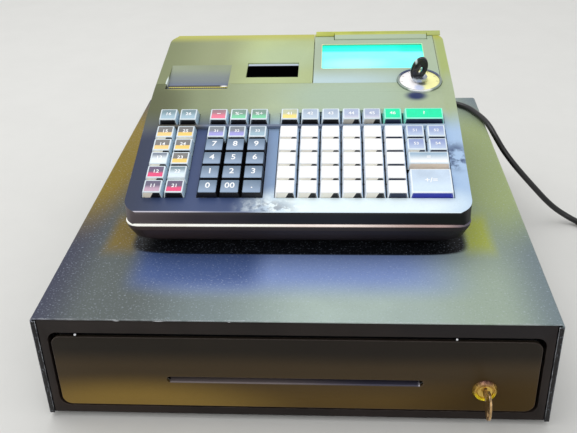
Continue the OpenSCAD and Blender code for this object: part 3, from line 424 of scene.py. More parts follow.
@dataclass(frozen=True)
class Finish:
    """A surface finish made of nodes.

    Attributes:
        name: the material's name.
        colour: its main colour.
        roughness: 0 for a mirror, 1 for chalk.
        metallic: 1 for bare metal.
        specular: strength of its plain gloss.
        coat: a clear layer over it.
        grain: its fine unevenness.
        washes: colours that come in along a line, in order.
        patches: ovals of colour, in order.
        zones: parts with colours of their own, laid over the rest.
        wear: rubbed edges.
        mottle: how much the colour drifts over the surface, 0 to 1.
        mottle_scale: how fine it drifts, in lumps per metre.
        glow: strength of its own light; on pieces that are no lamp, such as the bead strip, the display's rim
            and the dial, it is painted light.
    """

    name: str
    colour: Triple
    roughness: float = 0.5
    metallic: float = 0.0
    specular: float = 0.3
    coat: float = 0.0
    grain: Grain = Grain()
    washes: tuple[Wash, ...] = ()
    patches: tuple[Patch, ...] = ()
    zones: tuple[Zone, ...] = ()
    wear: Wear | None = None
    mottle: float = 0.04
    mottle_scale: float = 14.0
    glow: float = 0.0

    def base(self, t: Tree, position: Socket) -> Socket:
        """The colour before washes, patches and wear.

        Args:
            t: the material's tree.
            position: where the point is, in metres.

        Returns:
            A colour socket.
        """
        drift = t.noise(position, self.mottle_scale, 3)
        darker = tuple(value * (1 - self.mottle) for value in self.colour)
        lighter = tuple(min(255, value * (1 + self.mottle)) for value in self.colour)
        return t.mix(t.smooth(drift, 0.3, 0.7), linear(darker), linear(lighter))

    @staticmethod
    def paint_over(t: Tree, position: Socket, colour: object,
                   washes: tuple[Wash, ...], patches: tuple[Patch, ...]) -> object:
        """Adds washes and patches to a colour."""
        for wash in washes:
            colour = t.group("Wash", Colour=colour, Tint=linear(wash.colour), Position=position,
                             Start=Vector(wash.start) * MM, End=Vector(wash.end) * MM,
                             Strength=wash.strength).outputs["Colour"]
        for patch in patches:
            strength: object = patch.strength
            if patch.lump:
                clouds = t.smooth(t.noise(position, patch.lump, 5), 0.42, 0.58)
                strength = t.math("MULTIPLY", clouds, patch.strength)
            colour = t.group("Patch", Colour=colour, Tint=linear(patch.colour), Position=position,
                             Centre=Vector(patch.centre) * MM, Reach=Vector(patch.reach) * MM,
                             Core=patch.core, Strength=strength, Square=patch.square).outputs["Colour"]
        return colour

    def painted(self, t: Tree, position: Socket, colour: object) -> object:
        """Adds the washes, patches and zones to the ground colour."""
        colour = self.paint_over(t, position, colour, self.washes, self.patches)
        for zone in self.zones:
            other = self.paint_over(t, position, linear(zone.colour), zone.washes, zone.patches)
            colour = t.group("Wash", Colour=colour, Tint=other, Position=position,
                             Start=Vector(zone.start) * MM, End=Vector(zone.end) * MM,
                             Strength=1).outputs["Colour"]
        return colour

    def extra(self, t: Tree, position: Socket, colour: Socket) -> Socket:
        """A place for what one kind of finish adds; plain finishes add nothing."""
        return colour

    def material(self) -> bpy.types.Material:
        """Finds the material, and builds it the first time."""
        found = bpy.data.materials.get(self.name)
        if found is not None:
            return found
        made = bpy.data.materials.new(self.name)
        made.use_nodes = True
        t = Tree(made.node_tree)
        shader = made.node_tree.nodes["Principled BSDF"]
        position = t.node("ShaderNodeTexCoord").outputs["Object"]
        grain = t.group("Grain", Position=position, Scale=self.grain.scale, Shade=self.grain.shade)
        colour = self.extra(t, position, self.painted(t, position, self.base(t, position)))
        shade = t.node("ShaderNodeCombineColor")
        for part in shade.inputs[:3]:
            t.link(grain.outputs["Shade"], part)
        colour = t.mix(1, colour, shade.outputs[0], "MULTIPLY")
        if self.wear is not None:
            mask = t.group("Edge wear", Position=position, Radius=self.wear.radius * MM,
                           Scale=self.wear.scale, Amount=self.wear.amount).outputs["Mask"]
            colour = t.mix(mask, colour, linear(self.wear.colour))
        t.link(colour, shader.inputs["Base Color"])
        uneven = t.math("MULTIPLY", t.math("SUBTRACT", grain.outputs["Height"], 0.5), self.grain.rough * 2)
        t.link(t.math("ADD", uneven, self.roughness), shader.inputs["Roughness"])
        bump = t.node("ShaderNodeBump")
        bump.inputs["Strength"].default_value = BUMP_STRENGTH
        bump.inputs["Distance"].default_value = self.grain.height * MM
        t.link(grain.outputs["Height"], bump.inputs["Height"])
        t.link(bump.outputs["Normal"], shader.inputs["Normal"])
        constants = {"Metallic": self.metallic, "Specular IOR Level": self.specular,
                     "Coat Weight": self.coat, "Coat Roughness": COAT_ROUGHNESS}
        for name, value in constants.items():
            shader.inputs[name].default_value = value
        # Own light: real on the display's lit field, painted light on every other piece that glows.
        if self.glow:
            t.link(colour, shader.inputs["Emission Color"])
            shader.inputs["Emission Strength"].default_value = self.glow
        return made


@dataclass(frozen=True)
class SpeckledFinish(Finish):
    """Powder coat: fine light and dark specks over its colour.

    Attributes:
        specks: how strong the specks are.
        speck_scale: specks per metre.
        fleck: colour of the light specks, where they aren't just a lighter ground.
    """

    specks: float = 0.25
    speck_scale: float = 900.0
    fleck: Triple | None = None

    def extra(self, t: Tree, position: Socket, colour: Socket) -> Socket:
        """Lays the specks over the colour."""
        spots = {"Scale": self.speck_scale, "Level": 0.56, "Soft": 0.12}
        light = t.group("Blotch", Position=position, **spots)
        dark = t.group("Blotch", Position=t.vector("ADD", position, (3.1, 1.7, 2.3)), **spots)
        if self.fleck:
            brighter = linear(self.fleck)
        else:
            brighter = t.mix(1, colour, (1.35, 1.35, 1.35, 1), "MULTIPLY")
        darker = t.mix(1, colour, (0.6, 0.6, 0.6, 1), "MULTIPLY")
        colour = t.mix(t.math("MULTIPLY", light.outputs["Mask"], self.specks), colour, brighter)
        return t.mix(t.math("MULTIPLY", dark.outputs["Mask"], self.specks), colour, darker)


@dataclass(frozen=True)
class CardFinish(Finish):
    """Printed card under a clear key top, two colours one above the other.

    Attributes:
        lower: the colour of its front part.
        split: where the colours meet, from 0 at the front to 1 at the back.
        soft: how wide the change is.
    """

    lower: Triple = (200.0, 200.0, 200.0)
    split: float = 0.5
    soft: float = 0.1

    def extra(self, t: Tree, position: Socket, colour: Socket) -> Socket:
        """Brings the front colour in across the card."""
        spot = t.node("ShaderNodeSeparateXYZ")
        t.link(t.node("ShaderNodeTexCoord").outputs["UV"], spot.inputs[0])
        share = t.smooth(spot.outputs["Y"], self.split - self.soft, self.split + self.soft)
        return t.mix(share, linear(self.lower), colour)


@dataclass(frozen=True)
class SkirtFinish(Finish):
    """Front of a key, parted along a slanting line.

    Attributes:
        right: the colour right of the line.
        split: where the line starts along the lower edge, from 0 at the left to 1.
        slant: how far it leans to the right towards the top.
    """

    right: Triple = (25.0, 25.0, 28.0)
    split: float = 0.4
    slant: float = 0.22

    def extra(self, t: Tree, position: Socket, colour: Socket) -> Socket:
        """Lays the right colour over the skirt beyond the line."""
        spot = t.node("ShaderNodeSeparateXYZ")
        t.link(t.node("ShaderNodeTexCoord").outputs["UV"], spot.inputs[0])
        line = t.math("SUBTRACT", spot.outputs["X"], t.math("MULTIPLY", spot.outputs["Y"], self.slant))
        return t.mix(t.smooth(line, self.split - 0.01, self.split + 0.01), colour, linear(self.right))


# ---------------------------------------------------------------- the bench


def clear_bench() -> None:
    """Leaves edit mode and deselects everything."""
    active = bpy.context.view_layer.objects.active
    if active is not None and active.mode != "OBJECT":
        bpy.ops.object.mode_set(mode="OBJECT")
    bpy.ops.object.select_all(action="DESELECT")


class Select(Enum):
    """What an edit acts on."""

    VERTS = (True, False, False)
    EDGES = (False, True, False)
    FACES = (False, False, True)


class Work:
    """A mesh on the bench, in millimetres until it is placed."""

    def __init__(self, obj: bpy.types.Object, name: str) -> None:
        """Takes an object onto the bench.

        Args:
            obj: the mesh object.
            name: the piece's name.
        """
        self.obj = obj
        obj.name = name
        obj.data.name = name

    # ---- starts

    @classmethod
    def block(cls, name: str, size: Triple, centre: Triple = (0.0, 0.0, 0.0)) -> Work:
        """A block of a size about a centre, to be shaped."""
        clear_bench()
        bpy.ops.mesh.primitive_cube_add(size=1, location=centre, scale=size)
        bpy.ops.object.transform_apply(location=True, rotation=True, scale=True)
        return cls(bpy.context.object, name)

    @classmethod
    def disc(cls, name: str, radius: float, depth: float, centre: Triple = (0.0, 0.0, 0.0),
             turn: Triple = (0, 0, 0), sides: int = 64) -> Work:
        """A round of a radius and depth about a centre; turn is in degrees."""
        clear_bench()
        bpy.ops.mesh.primitive_cylinder_add(vertices=sides, radius=radius, depth=depth, location=centre,
                                            rotation=[math.radians(a) for a in turn])
        bpy.ops.object.transform_apply(location=True, rotation=True, scale=True)
        return cls(bpy.context.object, name)

    @classmethod
    def text(cls, name: str, words: str, size: float, height: float, bold: float = 0.0) -> Work:
        """A raised figure or sign, its middle at the origin."""
        clear_bench()
        bpy.ops.object.text_add()
        made = bpy.context.object
        made.data.body = words
        made.data.size = size
        made.data.extrude = height / 2
        made.data.offset = bold
        made.data.align_x = "CENTER"
        made.data.align_y = "CENTER"
        made.data.resolution_u = 3
        bpy.ops.object.convert(target="MESH")
        return cls(bpy.context.object, name)

    @classmethod
    def copy_of(cls, node: str, name: str) -> Work:
        """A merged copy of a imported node's mesh, turned to millimetres.

        Args:
            node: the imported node.
            name: the new piece's name.

        Returns:
            The copy, with its flat faces whole again.
        """
        clear_bench()
        source = bpy.data.objects[node]
        made = bpy.data.objects.new(name, source.data.copy())
        bpy.context.scene.collection.objects.link(made)
        made.data.transform(TO_METRES.inverted())
        made.data.materials.clear()
        for key in list(made.keys()):
            del made[key]
        work = cls(made, name)
        work.edit(Select.VERTS, "remove_doubles", threshold=0.004)
        for attribute in ("sharp_edge", "sharp_face", "custom_normal"):
            found = made.data.attributes.get(attribute)
            if found is not None:
                made.data.attributes.remove(found)
        work.edit(Select.VERTS, "dissolve_limited", angle_limit=math.radians(1))
        return work

    def twin(self, name: str) -> Work:
        """A copy with its own mesh."""
        clear_bench()
        made = bpy.data.objects.new(name, self.obj.data.copy())
        bpy.context.scene.collection.objects.link(made)
        return Work(made, name)

    # ---- edits

    def active(self) -> None:
        """Makes this piece the only one selected."""
        clear_bench()
        self.obj.select_set(True)
        bpy.context.view_layer.objects.active = self.obj

    def edit(self, kind: Select, operator: str, test: Test | None = None, **options: object) -> Work:
        """Runs an edit-mode operator on what a test picks.

        Args:
            kind: whether verts, edges or faces are picked.
            operator: the name under bpy.ops.mesh, or "resize" or "translate".
            test: says of each element, by its middle and normal, whether it is picked;
                everything is picked without it.
            **options: what the operator takes.

        Returns:
            This piece.
        """
        self.active()
        bpy.context.tool_settings.mesh_select_mode = kind.value
        mesh = self.obj.data
        bpy.ops.object.mode_set(mode="EDIT")
        if test is None:
            bpy.ops.mesh.select_all(action="SELECT")
        else:
            bpy.ops.mesh.select_all(action="DESELECT")
            bpy.ops.object.mode_set(mode="OBJECT")
            verts = mesh.vertices
            if kind is Select.FACES:
                for face in mesh.polygons:
                    face.select = bool(test(face.center, face.normal))
            elif kind is Select.EDGES:
                for edge in mesh.edges:
                    a, b = (verts[i].co for i in edge.vertices)
                    edge.select = bool(test((a + b) / 2, (b - a).normalized()))
            else:
                for vert in verts:
                    vert.select = bool(test(vert.co, vert.normal))
            bpy.ops.object.mode_set(mode="EDIT")
        tools = bpy.ops.transform if operator in ("resize", "translate") else bpy.ops.mesh
        getattr(tools, operator)(**options)
        bpy.ops.object.mode_set(mode="OBJECT")
        return self

    def inset(self, test: Test, thickness: float, depth: float = 0.0) -> Work:
        """Insets the faces that a test picks, and raises them by a depth."""
        return self.edit(Select.FACES, "inset", test, thickness=thickness, depth=depth)

    def pull(self, test: Test, move: Triple) -> Work:
        """Extrudes the faces that a test picks."""
        return self.edit(Select.FACES, "extrude_region_move", test, TRANSFORM_OT_translate={"value": move})

    def resize(self, kind: Select, test: Test | None, value: Triple, **options: object) -> Work:
        """Scales what a test picks about its own middle, or about center_override."""
        return self.edit(kind, "resize", test, value=value, **options)

    def bevel(self, test: Test, offset: float, segments: int) -> Work:
        """Rounds the edges that a test picks, by their middle and direction."""
        return self.edit(Select.EDGES, "bevel", test, offset=offset, segments=segments, affect="EDGES")

    def triangulate(self, test: Test) -> Work:
        """Parts the many-sided faces that a test picks into triangles."""
        return self.edit(Select.FACES, "quads_convert_to_tris", test, ngon_method="CLIP")

    def modify(self, kind: str, **settings: object) -> Work:
        """Adds a modifier, sets it and applies it."""
        self.active()
        made = self.obj.modifiers.new(kind.title(), kind)
        for key, value in settings.items():
            setattr(made, key, value)
        bpy.ops.object.modifier_apply(modifier=made.name)
        return self

    def round_edges(self, width: float, segments: int = 2, angle: float = 30.0) -> Work:
        """Rounds every edge that is sharper than an angle, in degrees."""
        return self.modify("BEVEL", width=width, segments=segments, limit_method="ANGLE",
                           angle_limit=math.radians(angle), use_clamp_overlap=True, harden_normals=False,
                           miter_outer="MITER_ARC")

    def smooth(self, angle: float = 40.0) -> Work:
        """Shades it smooth, save at edges sharper than an angle, in degrees."""
        self.active()
        bpy.ops.object.shade_smooth_by_angle(angle=math.radians(angle))
        return self

    def soften(self, width: float, segments: int = 2, angle: float = 40.0) -> Work:
        """Rounds and shades it, both up to the same angle."""
        return self.round_edges(width, segments, angle).smooth(angle)

    def cut(self, tool: Work, operation: str = "DIFFERENCE") -> Work:
        """Takes another piece's shape out of this one and discards that piece.

        Args:
            tool: the other piece.
            operation: DIFFERENCE, or UNION to weld the tool on instead.

        Returns:
            This piece.
        """
        self.modify("BOOLEAN", operation=operation, object=tool.obj, solver="EXACT")
        tool.discard()
        return self

    def join(self, others: Sequence[Work]) -> Work:
        """Joins other pieces to this one."""
        self.active()
        for other in others:
            other.obj.select_set(True)
        bpy.ops.object.join()
        return self

    @staticmethod
    def united(name: str, pieces: Sequence[Work]) -> Work:
        """Joins pieces to the first of them and names the whole."""
        first, *others = pieces
        if others:
            first.join(others)
        first.obj.name = name
        return first

    def square_off(self, y: float, z: float, least: float, rise: float) -> Work:
        """Draws a wide rounding along X out into its corner.

        Args:
            y: middle of the rounding, in Y.
            z: middle of the rounding, in Z.
            least: how far from the middle it starts.
            rise: how steeply the surface above it climbs, as a share.

        Returns:
            This piece.
        """
        for vert in self.obj.data.vertices:
            off = Vector((vert.co.y - y, vert.co.z - z))
            if min(off) > 0.0 and off.length > least:
                off *= off.length / max(off)
                vert.co.y, vert.co.z = y + off.x, z + off.y + rise * min(off)
        return self

    def fill_corners(self, levels: Sequence[tuple[float, float, float, float]], power: float) -> Work:
        """Draws the rounded front corners of a body out towards a squarer plan.

        Args:
            levels: height, half width, front and corner radius at each level, from below.
            power: 2 leaves a quarter circle; more makes it squarer.

        Returns:
            This piece.
        """
        heights, *rest = (list(column) for column in zip(*levels))
        for vert in self.obj.data.vertices:
            half, front, radius = (float(np.interp(vert.co.z, heights, column)) for column in rest)
            off = Vector((abs(vert.co.x) - half + radius, front + radius - vert.co.y))
            if min(off) > 0.0 and vert.co.z < heights[-1]:
                across, ahead = off.normalized()
                off *= (across ** power + ahead ** power) ** (-1 / power)
                vert.co.x = math.copysign(half - radius + off.x, vert.co.x)
                vert.co.y = front + radius - off.y
        return self

    def discard(self) -> None:
        """Removes the piece and its mesh."""
        mesh = self.obj.data
        bpy.data.objects.remove(self.obj)
        bpy.data.meshes.remove(mesh)

    def shift(self, matrix: Matrix) -> Work:
        """Moves the mesh by a matrix."""
        self.obj.data.transform(matrix)
        return self

    def paint(self, finish: Finish, test: Test | None = None) -> Work:
        """Gives the piece, or the faces that a test picks, a finish."""
        mesh = self.obj.data
        made = finish.material()
        if made.name not in mesh.materials:
            mesh.materials.append(made)
        index = mesh.materials.find(made.name)
        for face in mesh.polygons:
            if test is None or test(face.center, face.normal):
                face.material_index = index
        return self

    def map_faces(self, width: float, depth: float, height: float) -> Work:
        """Lays a map over a key: tops by X and Y, the rest by X and Z, each from 0 to 1."""
        mesh = self.obj.data
        layer = mesh.uv_layers[0] if mesh.uv_layers else mesh.uv_layers.new(name="UVMap")
        for face in mesh.polygons:
            flat = abs(face.normal.z) > 0.7
            for loop in face.loop_indices:
                x, y, z = mesh.vertices[mesh.loops[loop].vertex_index].co
                across = y / depth + 0.5 if flat else z / height
                layer.data[loop].uv = (x / width + 0.5, across)
        return self

    def place(self, matrix: Matrix = Matrix.Identity(4)) -> Work:
        """Moves the mesh into the frame, in metres, by a matrix in millimetres."""
        self.obj.data.transform(TO_METRES @ matrix)
        self.obj.data.update()
        return self

    def hang(self, body: str, slot: str, *nodes: str) -> Work:
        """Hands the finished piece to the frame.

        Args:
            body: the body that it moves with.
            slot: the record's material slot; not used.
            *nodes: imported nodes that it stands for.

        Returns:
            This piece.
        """
        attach(self.obj, body)
        if nodes:
            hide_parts(*nodes)
        LOG.info("%s: %d faces on %s", self.obj.name, len(self.obj.data.polygons), body)
        return self


def dress(node: str, finish: Finish) -> None:
    """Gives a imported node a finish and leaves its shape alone."""
    found = bpy.data.objects[node]
    found.data.materials.clear()
    found.data.materials.append(finish.material())
    LOG.info("%s: dressed in %s", node, finish.name)


@dataclass(frozen=True)
class Slope:
    """A sloping deck of the housing.

    Attributes:
        y: where it starts.
        z: its height there.
        angle: how steep it is, in degrees.
    """

    y: float
    z: float
    angle: float

    def at(self, x: float, s: float, n: float = 0.0) -> Matrix:
        """Matrix to a place on the deck: across, up the slope and above it."""
        start = Matrix.Translation((0, self.y, self.z)) @ Matrix.Rotation(math.radians(self.angle), 4, "X")
        return start @ Matrix.Translation((x, s, n))


KEY_DECK = Slope(-140, 147.8, 17.1)
REAR_DECK = Slope(30, 196.996, 9.8)
REAR_ROUNDING = (125, 206.405, 3.5, 0.1727)


def facing(direction: Triple, least: float = 0.9) -> Test:
    """A test that picks faces turned towards a direction."""
    aim = Vector(direction).normalized()
    return lambda centre, normal: normal.dot(aim) > least


UP = facing((0, 0, 1))
AHEAD = facing((0, -1, 0))


def upright(centre: Vector, direction: Vector) -> bool:
    """A test that picks edges along Z."""
    return abs(direction.z) > 0.9


def rounded(node: str, name: str, body: str, slot: str, finish: Finish, width: float, segments: int = 2,
            angle: float = 40, parts: Sequence[tuple[Finish, Test]] = ()) -> Work:
    """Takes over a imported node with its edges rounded, and hands it to the frame.

    Args:
        node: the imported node.
        name: the new piece's name.
        body: the body that it moves with.
        slot: the record's material slot.
        finish: its finish.
        width: width of the roundings.
        segments: steps in each rounding.
        angle: edges sharper than this, in degrees, are rounded, and stay crisp in the shading.
        parts: finishes of some of its faces, each with the test that picks them.

    Returns:
        The piece.
    """
    work = Work.copy_of(node, name).soften(width, segments, angle).paint(finish)
    for other, test in parts:
        work.paint(other, test)
    return work.place().hang(body, slot, node)


# ---------------------------------------------------------------- studio


@dataclass
class Studio:
    """Camera, lamps and floor.

    Attributes:
        eye: place of the camera, in metres.
        pan: its turn about the vertical, in degrees.
        tilt: its turn down from the horizon.
        roll: its turn about its own axis.
        lens: focal length on a sensor 36 mm wide.
        rise: share of the frame's width by which the picture is shifted up.
        sky: brightness of the even light from all round.
        lamp_power: power of the lamp overhead, in watts.
    """

    eye: Triple = (0.03533, -0.70754, 0.47963)
    pan: float = 4.063
    tilt: float = 28.201
    roll: float = -1.879
    lens: float = 49.495
    rise: float = -0.0546
    sky: float = 0.72
    lamp_power: float = 15.0

    def camera(self) -> None:
        """Sets up the camera."""
        data = bpy.data.cameras.new("camera")
        data.sensor_fit = "HORIZONTAL"
        data.sensor_width = 36.0
        data.lens = self.lens
        data.shift_y = self.rise
        data.clip_start, data.clip_end = 0.01, 50.0
        made = bpy.data.objects.new("camera", data)
        bpy.context.scene.collection.objects.link(made)
        turn = Matrix.Rotation(math.radians(self.pan), 4, "Z")
        turn = turn @ Matrix.Rotation(math.radians(90 - self.tilt), 4, "X")
        turn = turn @ Matrix.Rotation(math.radians(self.roll), 4, "Z")
        made.matrix_world = Matrix.Translation(self.eye) @ turn
        bpy.context.scene.camera = made

    def lamp(self, name: str, place: Triple, size: float, power: float) -> None:
        """Adds a square lamp that looks at the middle of the object."""
        data = bpy.data.lights.new(name, "AREA")
        data.shape = "SQUARE"
        data.size = size
        data.energy = power
        made = bpy.data.objects.new(name, data)
        bpy.context.scene.collection.objects.link(made)
        aim = Vector((0, 0, 0.1)) - Vector(place)
        made.matrix_world = Matrix.Translation(place) @ aim.to_track_quat("-Z", "Y").to_matrix().to_4x4()

    def world(self) -> None:
        """Even pale light from all round; the camera sees it white."""
        world = bpy.data.worlds.new("studio")
        bpy.context.scene.world = world
        world.use_nodes = True
        t = Tree(world.node_tree)
        background = world.node_tree.nodes["Background"]
        path = t.node("ShaderNodeLightPath")
        dim = (self.sky, self.sky, self.sky, 1)
        t.link(t.mix(path.outputs["Is Camera Ray"], dim, (1, 1, 1, 1)), background.inputs["Color"])

    def floor(self) -> None:
        """A plain pale floor under everything."""
        clear_bench()
        bpy.ops.mesh.primitive_plane_add(size=12, location=(0, 0, 0))
        made = bpy.context.object
        made.name = "floor"
        finish = Finish("floor_paint", (222, 222, 219), roughness=0.8, specular=0.1,
                        grain=Grain(60, 0, 0.004, 0), mottle=0.004)
        made.data.materials.append(finish.material())

    def build(self) -> None:
        """Sets up lamps, world and floor."""
        bpy.context.scene.view_settings.view_transform = "Standard"
        self.lamp("lamp_over", (-0.5, 0.35, 1.9), 1.6, self.lamp_power)
        self.lamp("lamp_front", (0.6, -1.6, 1.3), 1.2, self.lamp_power * 0.35)
        self.world()
        self.floor()


# ---------------------------------------------------------------- mains lead


@dataclass
class MainsLead:
    """The lead: from the housing over the drawer case to a coil on the floor, and its plug.

    Attributes:
        diameter: the lead's diameter.
        length: its real length, in metres; not used.
        middle: centre of the coil, in X and Y.
        radii: radii of the turns, from the outside in.
        swap: where in a turn it moves over to the next one, in degrees.
        hump: how far the first upper turn lifts over the rise to its layer.
        nose: where it enters the plug.
        relief_len: length of the sleeve at the housing.
        collar: thickness of the sleeve's collar.
        route: points that it follows from the housing to the coil.
    """

    diameter: float = 6.5
    length: float = 1.8
    middle: Pair = (358.0, 24.0)
    radii: Triple = (39.5, 33.0, 26.5)
    swap: Pair = (40.0, 178.0)
    hump: float = 3.0
    nose: Triple = (388.0, 9.0, 23.05)
    relief_len: float = 32.0
    collar: float = 3.0
    route: tuple[Triple, ...] = (
        (118, 132, 118), (118, 164, 116), (120, 176, 112), (127, 190, 107), (138, 200, 105.3),
        (153, 205, 105.3), (168, 203, 105.3), (181, 195, 105.3), (191, 184, 105.3), (198, 168, 105.3),
        (204, 149, 105.3), (208, 134, 103.5), (213, 119, 97), (220, 108, 87), (229, 101, 76),
        (242, 98, 61), (260, 97, 41), (273, 97, 27), (285, 96, 16.5), (298, 92.5, 8.8),
        (309.5, 85, 4.8), (317, 74, 3.6), (320, 60, 3.3), (319.5, 42, 3.3),
    )

    def turn_point(self, angle: int) -> Vector:
        """A point of the coil.

        Args:
            angle: how far round it is, in degrees, from 180 where the lead comes in.

        Returns:
            The point, in millimetres.
        """
        low, high = self.swap
        turn = (angle - 180) // 360
        place = (angle - 180) % 360 - 180
        run = min(max((place - low) / (high - low), 0), 1)
        share = run * run * (3 - 2 * run)
        outer = self.radii[0]
        order = (*self.radii, *reversed(self.radii), outer, outer)
        radius = order[turn] + (order[turn + 1] - order[turn]) * share
        height = self.diameter * (0.51 if turn < 3 else 1.51)
        if turn == 2:
            height += self.diameter * share
            radius -= 0.5 * math.sin(math.pi * share)
        elif turn == 3:
            height += self.hump * math.sin(math.pi * run) ** 2
        a = math.radians(angle)
        return Vector((self.middle[0] + radius * math.cos(a), self.middle[1] + radius * math.sin(a), height))

    def run_in(self, start: Vector, end: Vector) -> list[Vector]:
        """Points between the coil's last turn and the plug, round the coil's middle."""
        centre = Vector((*self.middle, 0))
        first, last = start - centre, end - centre
        a0, a1 = math.atan2(first.y, first.x), math.atan2(last.y, last.x)
        if a1 < a0:
            a1 += 2 * math.pi
        r0, r1 = first.xy.length, last.xy.length
        line = []
        for i in range(1, 5):
            f = i / 5
            lift = f * f * (3 - 2 * f)
            a = a0 + (a1 - a0) * f
            r = r0 + (r1 - r0) * f
            line.append(Vector((centre.x + r * math.cos(a), centre.y + r * math.sin(a),
                                start.z + (end.z - start.z) * lift)))
        return line

    def points(self) -> list[Vector]:
        """All the points of the lead, from the housing to the plug."""
        line = [Vector(p) for p in self.route]
        line += [self.turn_point(a) for a in range(180, 2340 + 75, 15)]
        end = Vector(self.nose)
        line += self.run_in(line[-1], end)
        return [*line, end, end + Vector((0, 3, 0))]

    def lead(self) -> bpy.types.Object:
        """The lead as one smooth curve with a round section."""
        line = [p * MM for p in self.points()]
        data = bpy.data.curves.new("mains_lead", "CURVE")
        data.dimensions = "3D"
        data.bevel_depth = self.diameter / 2 * MM
        data.bevel_resolution = 6
        data.resolution_u = 8
        data.use_fill_caps = True
        spline = data.splines.new("BEZIER")
        spline.bezier_points.add(len(line) - 1)
        for i, (knot, here) in enumerate(zip(spline.bezier_points, line)):
            before, after = line[max(i - 1, 0)], line[min(i + 1, len(line) - 1)]
            lean = (after - before).normalized()
            knot.co = here
            knot.handle_left = here - lean * (here - before).length / 3
            knot.handle_right = here + lean * (after - here).length / 3
        made = bpy.data.objects.new("mains_lead", data)
        bpy.context.scene.collection.objects.link(made)
        finish = Finish("lead_rubber", (24, 24, 26), roughness=0.32, specular=0.5,
                        grain=Grain(500, 0.02, 0.03, 0.08))
        data.materials.append(finish.material())
        return made

    def relief(self) -> Work:
        """Ribbed sleeve where the lead leaves the housing."""
        ribs, start_r, top, radius = 7, 5.6, self.collar, 8.0
        made = Work.disc("lead_relief", start_r, 4, (0, 0, -2), sides=40)
        made.inset(UP, 0.01).resize(Select.FACES, UP, (radius / (start_r - 0.01),) * 3)
        made.pull(UP, (0, 0, top))
        step = (self.relief_len - top) / ribs
        for i in range(ribs):
            wide = 6.4 - (6.4 - self.diameter / 2 - 0.75) * i / (ribs - 1)
            for new, rise in ((wide - 0.9, step * 0.4), (wide, step * 0.6)):
                end = lambda c, n, z=top: n.z > 0.9 and c.z > z - 0.05
                share = new / (radius - 0.02)
                made.inset(end, 0.02)
                middle = lambda c, n, e=end: e(c, n) and c.xy.length < 0.5
                made.resize(Select.FACES, middle, (share, share, 1))
                made.pull(end, (0, 0, rise))
                top, radius = top + rise, new
        for vert in made.obj.data.vertices:
            share = max(vert.co.z - self.collar, 0) / (self.relief_len - self.collar)
            vert.co.y += 2 * share * share
        made.round_edges(0.3, 2).smooth()
        made.paint(Finish("relief_rubber", (22, 22, 23)))
        made.place(Matrix.Translation(self.route[0]) @ Matrix.Rotation(math.radians(-90), 4, "X"))
        return made.hang("register_case", "relief_rubber", "strain_relief")

    def plug(self) -> Work:
        """Moulded plug with its pins, lying on the coil."""
        body = Work.block("plug_body", (24, 26, 20), (0, 25, 10))
        body.pull(AHEAD, (0, -12, 0)).resize(Select.FACES, AHEAD, (14 / 24, 1, 14 / 20))
        body.round_edges(2.6, 4).smooth(50)
        grip = Work.disc("grip", 4.45, 11, (0, -4.5, 10), (90, 0, 0), 32)
        grip.round_edges(1, 3).smooth(50)
        face = Work.block("pin_face", (17, 1.2, 14), (0, 38.2, 9.5))
        face.round_edges(0.5, 2).smooth(50)
        body.join([grip, face])
        body.paint(Finish("plug_rubber", (26, 26, 28)))
        pins = [Work.block("pin", (1.5, 18, 6.3), (side * 6, 46, 11.15)) for side in (-1, 1)]
        pins.append(Work.disc("pin", 2.3, 20, (0, 47, 4), (90, 0, 0), 24))
        brass = Finish("pin_metal", (205, 196, 150), roughness=0.25, metallic=1,
                       grain=Grain(700, 0.01, 0.04, 0.1))
        for pin in pins:
            pin.round_edges(0.6, 2).smooth(50).paint(brass)
        body.join(pins).place(Matrix.Translation((388, 20, 13.05)))
        body.obj.name = "mains_plug_dressed"
        return body.hang("register_case", "plug_plastic", "mains_plug")

    def build(self) -> None:
        """Makes the lead, its sleeve and its plug."""
        lead = self.lead()
        plug = self.plug()
        self.relief()
        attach(lead, "register_case")
        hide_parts("mains_cord", "cord_coil")


# ---------------------------------------------------------------- drawer case and drawer


BARE_STEEL = Finish("bare_steel", (168, 170, 172), roughness=0.34, metallic=0.85,
                    grain=Grain(260, 0.02, 0.05, 0.12), mottle=0.07)
TIN_PLATE = Finish("tin_plate", (150, 152, 150), roughness=0.42, metallic=0.7,
                   grain=Grain(180, 0.02, 0.06, 0.12), mottle=0.08, mottle_scale=9)


